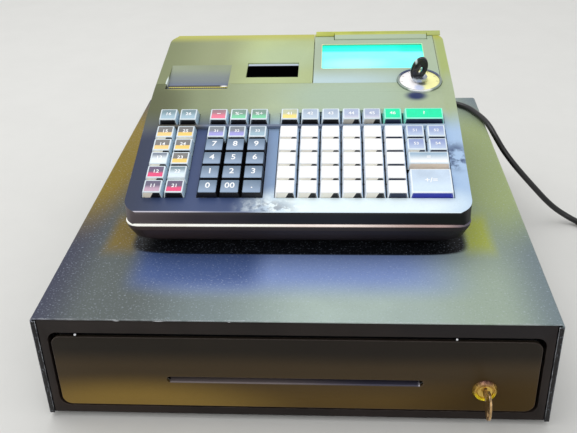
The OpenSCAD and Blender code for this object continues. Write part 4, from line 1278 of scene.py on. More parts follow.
@dataclass
class DrawerCase:
    """The steel case: folded cover, front frame, base, feet, rails and latch.

    Attributes:
        half_width: half the width of the case.
        top: height of its top.
        front: its front face, in Y.
    """

    half_width: float = 205.0
    top: float = 102.0
    front: float = -225.0

    def cover_painted_light_finish(self) -> Finish:
        """Speckled powder coat of the cover with light painted into it: the top painted lighter than the
        sides, as sheen where the lamps fall on it, painted shade towards the edges, painted reflections and a
        painted shadow in front of the register.
        """
        x, z = self.half_width, self.top
        return SpeckledFinish(
            "cover_coat", (163, 180, 173), specular=0.25,
            grain=Grain(1100, 0.12, 0.04, 0.1), mottle=0.03,
            washes=(
                # Painted shade: the top darkens towards both sides, most to the left.
                Wash((119, 133, 134), (20, 0, z), (-70, 0, z)),
                Wash((88, 96, 95), (-60, 0, z), (-135, 0, z)),
                Wash((58, 61, 80), (-160, 0, z), (-204, 0, z)),
                Wash((151, 167, 152), (95, 0, z), (145, 0, z)),
                Wash((113, 127, 132), (160, 0, z), (204, 0, z)),
                # The sides below the top keep the dark ground; the top above is painted lighter as sheen.
                Wash((30, 29, 30), (0, 0, z - 2), (0, 0, z - 3.6)),
            ),
            patches=(
                # Painted reflections: yellow along the left and right sides, the register's dark front in
                # blue in front of it and olive beside its sides; the near-black block is the register's
                # painted shadow on the top.
                Patch((137, 116, 20), (-x, 60, z), (52, 190, 20), 1, 0.35),
                Patch((164, 180, 120), (x - 18, 40, z), (60, 180, 20), 0.9, 0.4),
                Patch((126, 148, 200), (8, -120, z), (150, 84, 20), 1, 0.5, 1),
                Patch((74, 96, 148), (-84, -120, z), (66, 76, 20), 1, 0.6, 1),
                Patch((124, 102, 18), (-158, -98, z), (20, 46, 20), 0.9, 0.3, 1),
                Patch((176, 186, 70), (158, -96, z), (18, 46, 20), 0.9, 0.3, 1),
                Patch((6, 8, 14), (0, -90, z), (151, 43.5, 20), 1, 0.95, 1),
            ),
            wear=Wear((208, 212, 220), 1, 0.5, 90), specks=0.3, speck_scale=560,
            fleck=(196, 208, 226))

    def cover(self) -> None:
        """The folded cover with its hems, its folds rounded and its front edge chipped."""
        rounded("case_cover", "case_cover_coated", "register_case", "case_steel", self.cover_painted_light_finish(), 0.45)

    def chips(self) -> None:
        """Bare spots where the coat has come off the front fold and the frame below it."""
        bare = Finish("chipped_steel", (226, 228, 232), grain=Grain(900, 0.05, 0.1, 0.1))
        on_fold = (self.front + 0.5, self.top - 0.9)
        on_frame = (self.front + 0.33, 86.4)
        spots = ((-136, 7, on_fold), (-103, 12, on_fold), (-48, 2.6, on_fold),
                 (-171, 2.2, on_frame), (126, 1.8, on_frame))
        made: list[Work] = []
        for x, length, (y, z) in spots:
            chip = Work.disc("chip", length / 2, 0.5, (x, y, z), (50, 0, 0), 14)
            thin = min(1, 1.7 / length)
            chip.resize(Select.VERTS, None, (1, thin, thin), center_override=(x, y, z))
            chip.edit(Select.VERTS, "vertices_smooth", lambda c, n, m=x: c.x > m, factor=0.4, repeat=2)
            made.append(chip.round_edges(0.08, 1))
        Work.united("coat_chips", made).paint(bare).place().hang("register_case", "case_steel")

    def frame(self) -> None:
        """The frame round the drawer front, with its folded edge."""
        finish = SpeckledFinish(
            "front_coat", (37, 31, 29), roughness=0.42, specular=0.16,
            grain=Grain(900, 0.08, 0.06, 0.1), mottle=0.08, mottle_scale=22,
            patches=(
                # Painted light: lighter and warmer low at the left, darker along the top at the right.
                Patch((52, 42, 36), (-150, self.front, 20), (90, 20, 26), 0.7),
                Patch((30, 28, 32), (150, self.front, 95), (120, 20, 18), 0.6),
            ),
            wear=Wear((96, 88, 84), 0.7, 0.4, 150), specks=0.22)
        rounded("front_frame", "front_frame_coated", "register_case", "front_steel", finish, 0.5)

    def base(self) -> None:
        """The floor of the case, its feet and its rails."""
        coat = SpeckledFinish("base_coat", (46, 45, 47), specular=0.15, specks=0.2)
        rounded("case_base", "case_base_coated", "register_case", "case_steel", coat, 0.3, 1)
        sole = Finish("foot_rubber_skin", (24, 24, 25), roughness=0.75, specular=0.2,
                      grain=Grain(400, 0.08, 0.08, 0.1))
        rounded("rubber_feet", "feet_moulded", "register_case", "foot_rubber", sole, 0.6, 3)
        rounded("case_rails", "case_rails_rolled", "register_case", "plain_steel", BARE_STEEL, 0.25)

    def latch(self) -> None:
        """Release at the back of the drawer: solenoid, lever and spring."""
        copper = Finish("coil_winding", (176, 110, 58), roughness=0.35, metallic=0.7,
                        grain=Grain(1500, 0.15, 0.1, 0.1))
        middle, radius = Vector((-24, 207)), 9.5
        winding = lambda c, n: (c.xy - middle).length < radius and 7.0 < c.z < 31.0
        rounded("latch_solenoid", "latch_solenoid_fitted", "register_case", "coil_copper", BARE_STEEL, 0.3,
                parts=((copper, winding),))
        rounded("latch_lever", "latch_lever_cut", "latch", "plain_steel", BARE_STEEL, 0.35)
        dress("eject_spring", Finish("spring_wire", (140, 142, 146), roughness=0.28, metallic=0.9,
                                     grain=Grain(500, 0.02, 0.05, 0.1)))

    def build(self) -> None:
        """Makes the whole case."""
        self.cover()
        self.chips()
        self.frame()
        self.base()
        self.latch()


@dataclass
class Drawer:
    """The sliding drawer: front panel, pan, rails, cash tray and note clips.

    Attributes:
        front: face of the panel, in Y.
        slot_z: height of the media slot.
        slot_w: width of the media slot.
    """

    front: float = -225.0
    slot_z: float = 42.0
    slot_w: float = 205.0

    def panel_painted_light_finish(self) -> Finish:
        """Dark coat with painted light: warmer and lighter towards the floor and to the left as painted
        reflection, darker along the top as painted shade.
        """
        y = self.front
        return SpeckledFinish(
            "panel_coat", (38, 33, 27), roughness=0.36, specular=0.12,
            grain=Grain(1000, 0.08, 0.05, 0.1), mottle=0.04, mottle_scale=18,
            # Painted reflection of warm light, growing towards the floor.
            washes=(
                Wash((66, 54, 37), (0, y, 74), (0, y, 54)),
                Wash((90, 70, 34), (0, y, 52), (0, y, 20)),
            ),
            # Painted reflection low at both sides, and painted shade along the top.
            patches=(
                Patch((138, 112, 54), (-128, y, 10), (150, 30, 40), 0.95, 0.25),
                Patch((66, 49, 18), (178, y, 18), (110, 30, 44), 0.9, 0.3),
                Patch((34, 29, 26), (60, y, 88), (150, 30, 34), 0.5, 0.3),
            ),
            wear=Wear((120, 108, 104), 0.9, 0.72, 60), specks=0.16)

    def panel(self) -> None:
        """The front panel with its rounded rim, and the lips of the slot."""
        rounded("drawer_front", "drawer_panel_coated", "drawer", "front_steel", self.panel_painted_light_finish(), 1.1, 4)
        lip = Work.block("slot_lip", (self.slot_w - 5, 5.6, 1.4),
                         (0, self.front + 2.9, self.slot_z - 2.15))
        lip.inset(AHEAD, 0.25)
        lip.pull(lambda c, n: n.y < -0.9 and abs(c.x) < 60, (0, -0.2, 0))
        lip.soften(0.35, 3)
        # The lip darkens towards the right; the small bright patch at its right end is a painted highlight.
        lip.paint(SpeckledFinish(
            "lip_coat", (118, 108, 108), roughness=0.4,
            washes=(Wash((70, 68, 84), (-40, self.front, 40), (70, self.front, 40)),),
            patches=(Patch((205, 200, 210), (101, self.front, 40), (3, 9, 4), 1, 0.3),), specks=0.1))
        lip.place().hang("drawer", "front_steel")

    def pan(self) -> None:
        """The pan and the rails on its sides."""
        rounded("drawer_pan", "drawer_pan_folded", "drawer", "plain_steel", TIN_PLATE, 0.35)
        rounded("drawer_rails", "drawer_rails_rolled", "drawer", "plain_steel", BARE_STEEL, 0.2)

    def tray(self) -> None:
        """The moulded cash tray and the clips that hold the notes down."""
        work = Work.copy_of("cash_tray", "cash_tray_moulded").triangulate(UP)
        work.soften(0.7, 3)
        work.paint(Finish("tray_moulding", (44, 44, 47), roughness=0.48,
                          grain=Grain(1300, 0.06, 0.05, 0.08), mottle=0.05))
        rod_y, rod_z, rod_r = 101.2, 74.4, 2.3
        work.paint(BARE_STEEL, lambda c, n: abs(c.y - rod_y) < rod_r and abs(c.z - rod_z) < rod_r)
        work.place().hang("drawer", "tray_plastic", "cash_tray")
        skin = Finish("clip_moulding", (28, 28, 30), roughness=0.35, specular=0.4,
                      grain=Grain(900, 0.04, 0.05, 0.08))
        rounded("bill_clips", "note_clips_moulded", "note_clips", "clip_plastic", skin, 0.5, 3)

    def build(self) -> None:
        """Makes the whole drawer."""
        self.panel()
        self.pan()
        self.tray()


@dataclass
class DrawerLock:
    """The lock in the drawer front, with the key left in it.

    Attributes:
        x: its distance from the middle.
        z: its height.
        front: face of the panel, in Y.
        flange_t: how far the flange stands out from the panel.
        profile: radius and depth of each ring of the flange's face, from the outside in.
    """

    x: float = 151.0
    z: float = 36.5
    front: float = -225.0
    flange_t: float = 3.0
    profile: tuple[Pair, ...] = (
        (8.5, 0), (8, -0.35), (7.4, 0.1), (7.3, 0.45), (6.9, 0.45), (6.75, -0.1), (6.3, -0.2), (6.06, 0.2))

    def face(self) -> Work:
        """The flange's face, drawn ring by ring from its outer edge to the bore."""
        centre = (self.x, self.front - self.flange_t, self.z)
        clear_bench()
        bpy.ops.mesh.primitive_circle_add(vertices=64, radius=self.profile[0][0], fill_type="NOTHING",
                                          location=centre, rotation=(math.radians(90), 0, 0))
        bpy.ops.object.transform_apply(location=True, rotation=True, scale=True)
        face = Work(bpy.context.object, "lock_face")
        face.active()
        bpy.context.tool_settings.mesh_select_mode = Select.EDGES.value
        bpy.ops.object.mode_set(mode="EDIT")
        bpy.ops.mesh.select_all(action="SELECT")
        for (old_r, old_y), (radius, deep) in zip(self.profile, self.profile[1:]):
            bpy.ops.mesh.extrude_region_move(TRANSFORM_OT_translate={"value": (0, deep - old_y, 0)})
            bpy.ops.transform.resize(value=(radius / old_r, 1, radius / old_r), center_override=centre)
        bpy.ops.object.mode_set(mode="OBJECT")
        return face.edit(Select.FACES, "normals_make_consistent", inside=False)

    def ring(self) -> None:
        """The barrel and its flange: a rolled rim, a groove and a raised inner ring."""
        work = Work.copy_of("lock_barrel", "lock_barrel_turned")
        work.edit(Select.FACES, "delete", lambda c, n: n.y < -0.95 and c.y < self.front - 2.5, type="FACE")
        work.join([self.face()])
        work.obj.name = "lock_barrel_turned"
        work.edit(Select.VERTS, "remove_doubles", threshold=0.05)
        work.edit(Select.FACES, "normals_make_consistent", inside=False)
        work.round_edges(0.12, 2, 30).smooth()
        # The washes are painted reflection on the brass: bright yellow below the middle, dull brown towards
        # the top.
        work.paint(Finish("lock_brass_skin", (206, 168, 84), roughness=0.25, metallic=0.8, specular=0.5,
                          grain=BRASS_GRAIN,
                          washes=(Wash((250, 226, 50), (self.x, 0, self.z + 1), (self.x, 0, self.z - 4)),
                                  Wash((136, 98, 88), (self.x, 0, self.z + 4),
                                       (self.x, 0, self.z + 10)))))
        work.place().hang("drawer", "lock_brass", "lock_barrel")

    def plug(self) -> None:
        """The turning plug and its cam."""
        brass = Finish("plug_brass_skin", (214, 180, 92), roughness=0.24, metallic=0.85, specular=0.5,
                       grain=BRASS_GRAIN, mottle=0.1, mottle_scale=60)
        rounded("lock_plug", "lock_plug_turned", "drawer_lock", "lock_brass", brass, 0.25, 3)

    def key(self) -> None:
        """The key: blade with two notches, and a bow with a hole and a raised rim."""
        shoulder = self.front - self.flange_t + 0.6 - 7.0
        bow = Work.disc("drawer_key_cut", 10, 1.7, (0, 0, 0), (0, 90, 0), 56)
        bow.resize(Select.VERTS, None, (1, 1, 1.2))
        for side in (1, -1):
            bow.inset(facing((side, 0, 0), 0.95), 1.5)
            middle = lambda c, n, s=side: n.x * s > 0.95 and c.length < 1.5
            bow.edit(Select.FACES, "translate", middle, value=(-side * 0.3, 0, 0))
            bow.inset(middle, 2.2)
            bow.edit(Select.FACES, "translate", middle, value=(side * 0.25, 0, 0))
        bow.cut(Work.disc("hole", 2.6, 6, (0, -4.6, -4.6), (0, 90, 0), 24))
        bow.shift(Matrix.Translation((0, shoulder - 8, 0)))
        blade = Work.block("blade", (1.8, 19, 7), (0, shoulder + 9.5, 0))
        blade.edit(Select.FACES, "subdivide", number_cuts=5)
        notch = lambda c, n: c.z > 3.0 and abs(c.y - self.front - 1) < 1.6
        blade.edit(Select.VERTS, "translate", notch, value=(0, 0, -1.1))
        blade.cut(Work.block("groove", (0.6, 40, 1.2), (0.9, self.front - 4, 0.6)))
        bow.join([blade])
        bow.obj.name = "drawer_key_cut"
        bow.round_edges(0.22, 2, 35).smooth()
        bow.paint(Finish("key_brass_skin", (176, 142, 96), roughness=0.3, metallic=0.75, specular=0.5,
                         grain=Grain(300, 0.03, 0.08, 0.15), mottle=0.22, mottle_scale=110,
                         wear=Wear((226, 210, 184), 0.5, 0.6, 200)))
        bow.place(Matrix.Translation((self.x, 0, self.z))).hang("drawer_lock", "key_brass", "drawer_key")

    def build(self) -> None:
        """Makes the lock and its key."""
        self.ring()
        self.plug()
        self.key()


# ---------------------------------------------------------------- register housing


@dataclass
class Housing:
    """The moulded shells of the register, the plate under the keys and the board.

    Attributes:
        half_width: half the width of the body.
        front: front of the body, in Y.
        back: back of the body.
        part_z: height of the line where the shells meet.
        bead_h: height of the strip along that line, painted as a highlight.
    """

    half_width: float = 146.5
    front: float = -140.0
    back: float = 132.0
    part_z: float = 134.0
    bead_h: float = 2.6

    def deck_painted_sheen_finish(self) -> Finish:
        """Moulded deck, its colours painted light: khaki sheen at the back, slate blue and pale blue sheen at
        the front, with painted shade, reflections and highlights.
        """
        w = self.half_width
        return SpeckledFinish(
            "deck_painted_sheen", (170, 184, 150), roughness=0.42, specular=0.25,
            grain=DECK_GRAIN, mottle=0.03, mottle_scale=10,
            washes=(
                # Painted shade towards the left; the yellow-olive along the right edge is painted reflection,
                # and along the back rounding a painted highlight.
                Wash((136, 146, 112), (-20, 0, 0), (-96, 0, 0)),
                Wash((96, 104, 66), (-92, 0, 0), (-w, 0, 0)),
                Wash((164, 178, 108), (134, 0, 0), (140, 0, 0)),
                Wash((186, 182, 60), (0, 112, 0), (0, 132, 0), 0.8),
            ),
            patches=(
                # Painted light: paler sheen in the middle and at the right, shade at the left, the mode
                # ring's painted shadow in navy in front of it and a painted highlight on the lip before the
                # receipt slot.
                Patch((168, 188, 168), (46, 8, 190), (92, 44, 40), 0.9, 0.3),
                Patch((82, 84, 56), (-w, 0, 180), (54, 48, 40), 0.6, 0.3),
                Patch((40, 54, 98), (110, 8, 190), (14, 10, 20), 1, 0.35),
                Patch((166, 180, 148), (144, 10, 190), (14, 56, 40), 0.9, 0.4),
                Patch((200, 194, 96), (-104, 26, 195), (34, 7, 20), 0.9, 0.5, 1),
            ),
            zones=(
                # Front zone: pale blue painted sheen, darker towards the left as painted shade, with white
                # painted highlights, dark painted reflections and shade at the left.
                Zone((158, 188, 224), (0, -8, 0), (0, -46, 0),
                     washes=(
                         Wash((62, 78, 118), (10, 0, 0), (-58, 0, 0)),
                         Wash((40, 50, 76), (-84, 0, 0), (-w, 0, 0)),
                         Wash((172, 198, 228), (96, 0, 0), (w, 0, 0), 0.8),
                     ),
                     patches=(
                         Patch((232, 248, 255), (56, -130, 150), (112, 34, 30), 1, 0.5),
                         Patch((240, 252, 255), (-14, -134, 150), (44, 20, 30), 0.85, 0.2, 0, 110),
                         Patch((46, 58, 92), (-22, -136, 150), (30, 14, 30), 0.6, 0.2, 0, 150),
                         Patch((74, 92, 126), (139, -74, 165), (15, 24, 30), 1, 0.3, 0, 90),
                         Patch((92, 96, 100), (-w, -26, 170), (40, 30, 40), 0.7, 0.3),
                     )),
                # A painted highlight along the deck's front edge, darker towards the left.
                Zone((214, 210, 222), (0, self.front + 1.6, 0), (0, self.front + 0.9, 0),
                     washes=(Wash((124, 134, 164), (-100, 0, 0), (-60, 0, 0)),
                             Wash((222, 240, 252), (-46, 0, 0), (-14, 0, 0)),)),
            ),
            wear=Wear((190, 196, 196), 0.6, 0.25, 90), specks=0.1, speck_scale=420)

    def upper(self) -> None:
        """Upper shell with its edges rounded and its dark front band."""
        # The band's washes are painted light: lighter towards the left, near black towards the right.
        band = Finish("front_band", (33, 33, 38), roughness=0.35,
                      grain=SHELL_GRAIN, mottle=0.08,
                      washes=(Wash((62, 56, 60), (-10, 0, 0), (-76, 0, 0)),
                              Wash((98, 89, 91), (-76, 0, 0), (-self.half_width, 0, 0)),
                              Wash((6, 5, 8), (30, 0, 0), (120, 0, 0))))
        inner = Finish("shell_inside", (40, 42, 44), roughness=0.7, specular=0.15,
                       grain=INSIDE_GRAIN)
        work = Work.copy_of("upper_case", "upper_shell_moulded").square_off(*REAR_ROUNDING)
        # Room for the rear edge of the printer cover as it swings up.
        work.cut(Work.block("lid_swing", (158.2, 6, 10.6), (-68.9, self.back - 0.1, 201.5)))
        work.soften(0.5, 2, 38).paint(self.deck_painted_sheen_finish()).paint(inner, self.is_inside)
        work.paint(band, lambda c, n: abs(n.z) < 0.5 and self.is_skirt(c) and not self.is_inside(c, n))
        work.paint(band, lambda c, n: n.z > 0.5 and c.y > self.back - 4.0 and c.z < 199)
        work.place().hang("register_case", "housing_upper", "upper_case")

    def is_skirt(self, centre: Vector) -> bool:
        """Whether a face belongs to the walls round the decks."""
        edge = max(abs(centre.x) - self.half_width, self.front - centre.y, centre.y - self.back)
        return edge > -9.0 and centre.z < 212.0

    def is_inside(self, centre: Vector, normal: Vector) -> bool:
        """Whether a face of the shell looks into it."""
        wall, level = 12, 0.3
        if abs(centre.x) > self.half_width - wall and abs(normal.x) > level:
            return normal.x * centre.x < 0
        at_end = centre.y < self.front + wall or centre.y > self.back - wall
        if at_end and abs(normal.y) > level:
            return normal.y * centre.y < 0
        return normal.z < -level

    def lower(self) -> None:
        """Lower shell, fuller at its front corners than a plain rounding."""
        x = self.half_width
        # The washes are painted light: lighter towards the left, darker towards the right.
        shell = Finish("lower_moulding", (52, 46, 47), roughness=0.42, specular=0.25,
                       grain=SHELL_GRAIN, mottle=0.06,
                       washes=(Wash((68, 56, 54), (0, 0, 0), (-x, 0, 0)),
                               Wash((36, 31, 34), (40, 0, 0), (120, 0, 0))))
        levels = ((102, 134, -117, 22), (108, 135.5, -118, 22),
                  (117, 142, -129, 20), (130.95, 145.5, -136.5, 17))
        work = Work.copy_of("lower_case", "lower_shell_moulded").fill_corners(levels, 5)
        work.triangulate(facing((0, 0, -1), 0.99)).soften(0.8, 3, 38).paint(shell)
        work.place().hang("register_case", "housing_lower", "lower_case")

    def bead(self) -> None:
        """Strip set in a groove where the shells meet, painted bright and glowing as the highlight along the
        joint.
        """
        x, z = self.half_width + 0.5, self.part_z + 0.7
        front, back = self.front + 0.9, self.back + 0.3
        middle = (front + back) / 2
        made = Work.block("bead_strip_set", (2 * x, back - front, self.bead_h), (0, middle, z))
        hollow = Work.block("hollow", (2 * x - 4, back - front - 4, 9), (0, middle, z))
        for work, radius in ((made, 13), (hollow, 11)):
            work.bevel(upright, radius, 12)
        made.cut(hollow).round_edges(0.9, 3, 50).smooth()
        # Painted highlight: near white with a glow, fading towards the right and dark towards the back.
        made.paint(Finish("bead_strip", (255, 254, 244), roughness=0.3, specular=0.5, glow=0.3,
                          grain=Grain(500, 0.02, 0.06, 0.05), mottle=0.02, mottle_scale=40,
                          washes=(Wash((250, 236, 228), (-30, 0, 0), (10, 0, 0)),
                                  Wash((176, 150, 146), (30, 0, 0), (110, 0, 0)),
                                  Wash((60, 58, 76), (118, 0, 0), (x, 0, 0)),
                                  Wash((60, 58, 56), (0, -100, 0), (0, -60, 0)))))
        made.place().hang("register_case", "housing_upper")

    def plate(self) -> None:
        """Plate under the keys, pierced for their stems."""
        skin = Finish("plate_moulding", (22, 22, 25), roughness=0.6, specular=0.15,
                      grain=Grain(800, 0.05, 0.05, 0.05))
        rounded("key_plate", "key_plate_pierced", "register_case", "plate_plastic", skin, 0.2, 1)

    def board(self) -> None:
        """Circuit board with its chips and cans."""
        surface = max(116.2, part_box("main_board")[0].z / MM + 1.75)
        green = Finish("board_lacquer", (22, 92, 52), roughness=0.3, specular=0.5,
                       grain=Grain(700, 0.03, 0.12, 0.05), mottle=0.12, mottle_scale=160)
        resin = Finish("chip_resin", (32, 32, 35),
                       grain=Grain(900, 0.04, 0.06, 0.05))
        rounded("main_board", "main_board_fitted", "register_case", "board_green", green, 0.2, 1,
                parts=((resin, lambda c, n: c.z > surface),))

    def build(self) -> None:
        """Makes the shells and what they hold."""
        self.upper()
        self.lower()
        self.bead()
        self.plate()
        self.board()


# ---------------------------------------------------------------- keyboard


PRINT_WHITE = Finish("key_print", (248, 250, 252), roughness=0.4,
                     grain=Grain(900, 0.01, 0.02, 0.02), mottle=0.01)
KEY_BLACK = (20, 20, 24)
KEY_NAVY = (30, 40, 66)
KEY_CREAM = (246, 238, 222)
CARD_WHITE = (252, 254, 255)
BACK_ROW = 5
CAPITAL_SHARE = 0.72


@dataclass(frozen=True)
class KeyLook:
    """Colours of one sort of key.

    Attributes:
        name: the sort.
        back: card colour at the back of the top.
        front: card colour at the front of the top.
        split: where they meet, from 0 at the front to 1 at the back.
        soft: half the width of the change.
        skirt: colour of the front face, left of the slanting line.
        skirt_right: colour right of it.
        parting: where the line starts; more than 1 leaves the front face whole.
        rim: colour of the cap round the card; on the clear caps a painted highlight.
        side: colour of the cap's right side; on the clear caps painted lighter, as lit.
    """

    name: str
    back: Triple
    front: Triple
    split: float = 0.5
    soft: float = 0.3
    skirt: Triple = KEY_BLACK
    skirt_right: Triple = KEY_BLACK
    parting: float = 2.0
    rim: Triple = (222.0, 234.0, 242.0)
    side: Triple = (170.0, 196.0, 214.0)


STEEL_BLUE = KeyLook("steel_blue", (112, 140, 150), (160, 190, 206))
AMBER = KeyLook("amber", (116, 114, 112), (250, 206, 104), 0.42, 0.04)
AMBER_CREAM = KeyLook("amber_cream", (116, 114, 112), (250, 206, 104), 0.42, 0.04,
                      KEY_CREAM, KEY_CREAM)
AMBER_SPLIT = KeyLook("amber_split", (116, 114, 112), (250, 208, 130), 0.42, 0.05,
                      KEY_CREAM, KEY_BLACK, 0.45)
SNOW_SPLIT = KeyLook("snow_split", (100, 112, 132), (232, 242, 248), 0.62, 0.3,
                     KEY_CREAM, KEY_BLACK, 0.45)
SNOW = KeyLook("snow", (110, 134, 146), (220, 236, 246), 0.56, 0.3, (236, 240, 238),
               (236, 240, 238))
CRIMSON = KeyLook("crimson", (94, 78, 110), (232, 62, 120), 0.44, 0.12)
CRIMSON_SPLIT = KeyLook("crimson_split", (96, 80, 114), (232, 62, 120), 0.44, 0.12,
                        KEY_CREAM, KEY_BLACK, 0.45)
MAUVE_SPLIT = KeyLook("mauve_split", (92, 84, 112), (196, 160, 184), 0.44, 0.2,
                      KEY_CREAM, KEY_BLACK, 0.4)
ROSE = KeyLook("rose", (158, 118, 128), (236, 118, 146), 0.5, 0.25)
MINT = KeyLook("mint", (122, 152, 140), (120, 210, 164), 0.42, 0.2)
VIOLET = KeyLook("violet", (122, 130, 140), (160, 158, 226), 0.45, 0.2)
DUSK = KeyLook("dusk", (134, 152, 166), (158, 188, 204))
STRAW = KeyLook("straw", (196, 202, 168), (250, 226, 130), 0.45, 0.15)
MIST = KeyLook("mist", (170, 186, 206), (188, 204, 222), side=(196, 216, 236))
LILAC_SPLIT = KeyLook("lilac_split", (176, 188, 216), (206, 208, 226), 0.3, 0.2,
                      (190, 186, 176), KEY_BLACK, 0.5, side=(196, 216, 236))
EMERALD = KeyLook("emerald", (4, 236, 172), (4, 236, 172), skirt=KEY_NAVY,
                  skirt_right=KEY_NAVY, rim=(150, 248, 220))
WHITE_SPLIT = KeyLook("white_split", CARD_WHITE, CARD_WHITE, skirt=(250, 244, 232),
                      skirt_right=KEY_BLACK, parting=0.52, rim=(250, 253, 255),
                      side=(184, 208, 234))
WHITE_NAVY = KeyLook("white_navy", CARD_WHITE, CARD_WHITE, skirt=(36, 46, 70),
                     skirt_right=(36, 46, 70), rim=(250, 253, 255), side=(190, 216, 246))
LAVENDER = KeyLook("lavender", (150, 166, 210), (190, 206, 232), 0.4, 0.4, skirt=KEY_NAVY,
                   skirt_right=KEY_NAVY, side=(200, 220, 242))
LAVENDER_SPLIT = KeyLook("lavender_split", (150, 166, 210), (190, 206, 232), 0.4, 0.4,
                         (250, 244, 232), KEY_NAVY, 0.5, side=(200, 220, 242))
SUM = KeyLook("sum", (154, 182, 204), (248, 252, 255), 0.5, 0.4, skirt=(244, 226, 208),
              skirt_right=(244, 226, 208), side=(206, 224, 244))
CASH = KeyLook("cash", (196, 214, 234), (214, 232, 250), skirt=(40, 50, 160),
               skirt_right=(40, 50, 160), rim=(236, 244, 252), side=(200, 218, 240))
SLATE = KeyLook("slate", (106, 128, 152), (146, 168, 196), 0.4, 0.5,
                rim=KEY_BLACK, side=KEY_BLACK)


@dataclass(frozen=True)
class Key:
    """One key: where it stands, how wide it is, its look and its sign.

    Attributes:
        x: middle of its first column.
        row: its first row from the front.
        look: its colours.
        cols: columns that it spans.
        rows: rows that it spans.
        sign: figure or sign on its top.
        size: height of the sign's letters, in millimetres.
        trim: how much shorter the cap is at the back.
    """

    x: float
    row: int
    look: KeyLook
    cols: int = 1
    rows: int = 1
    sign: str = ""
    size: float = 6.0
    trim: float = 0.0


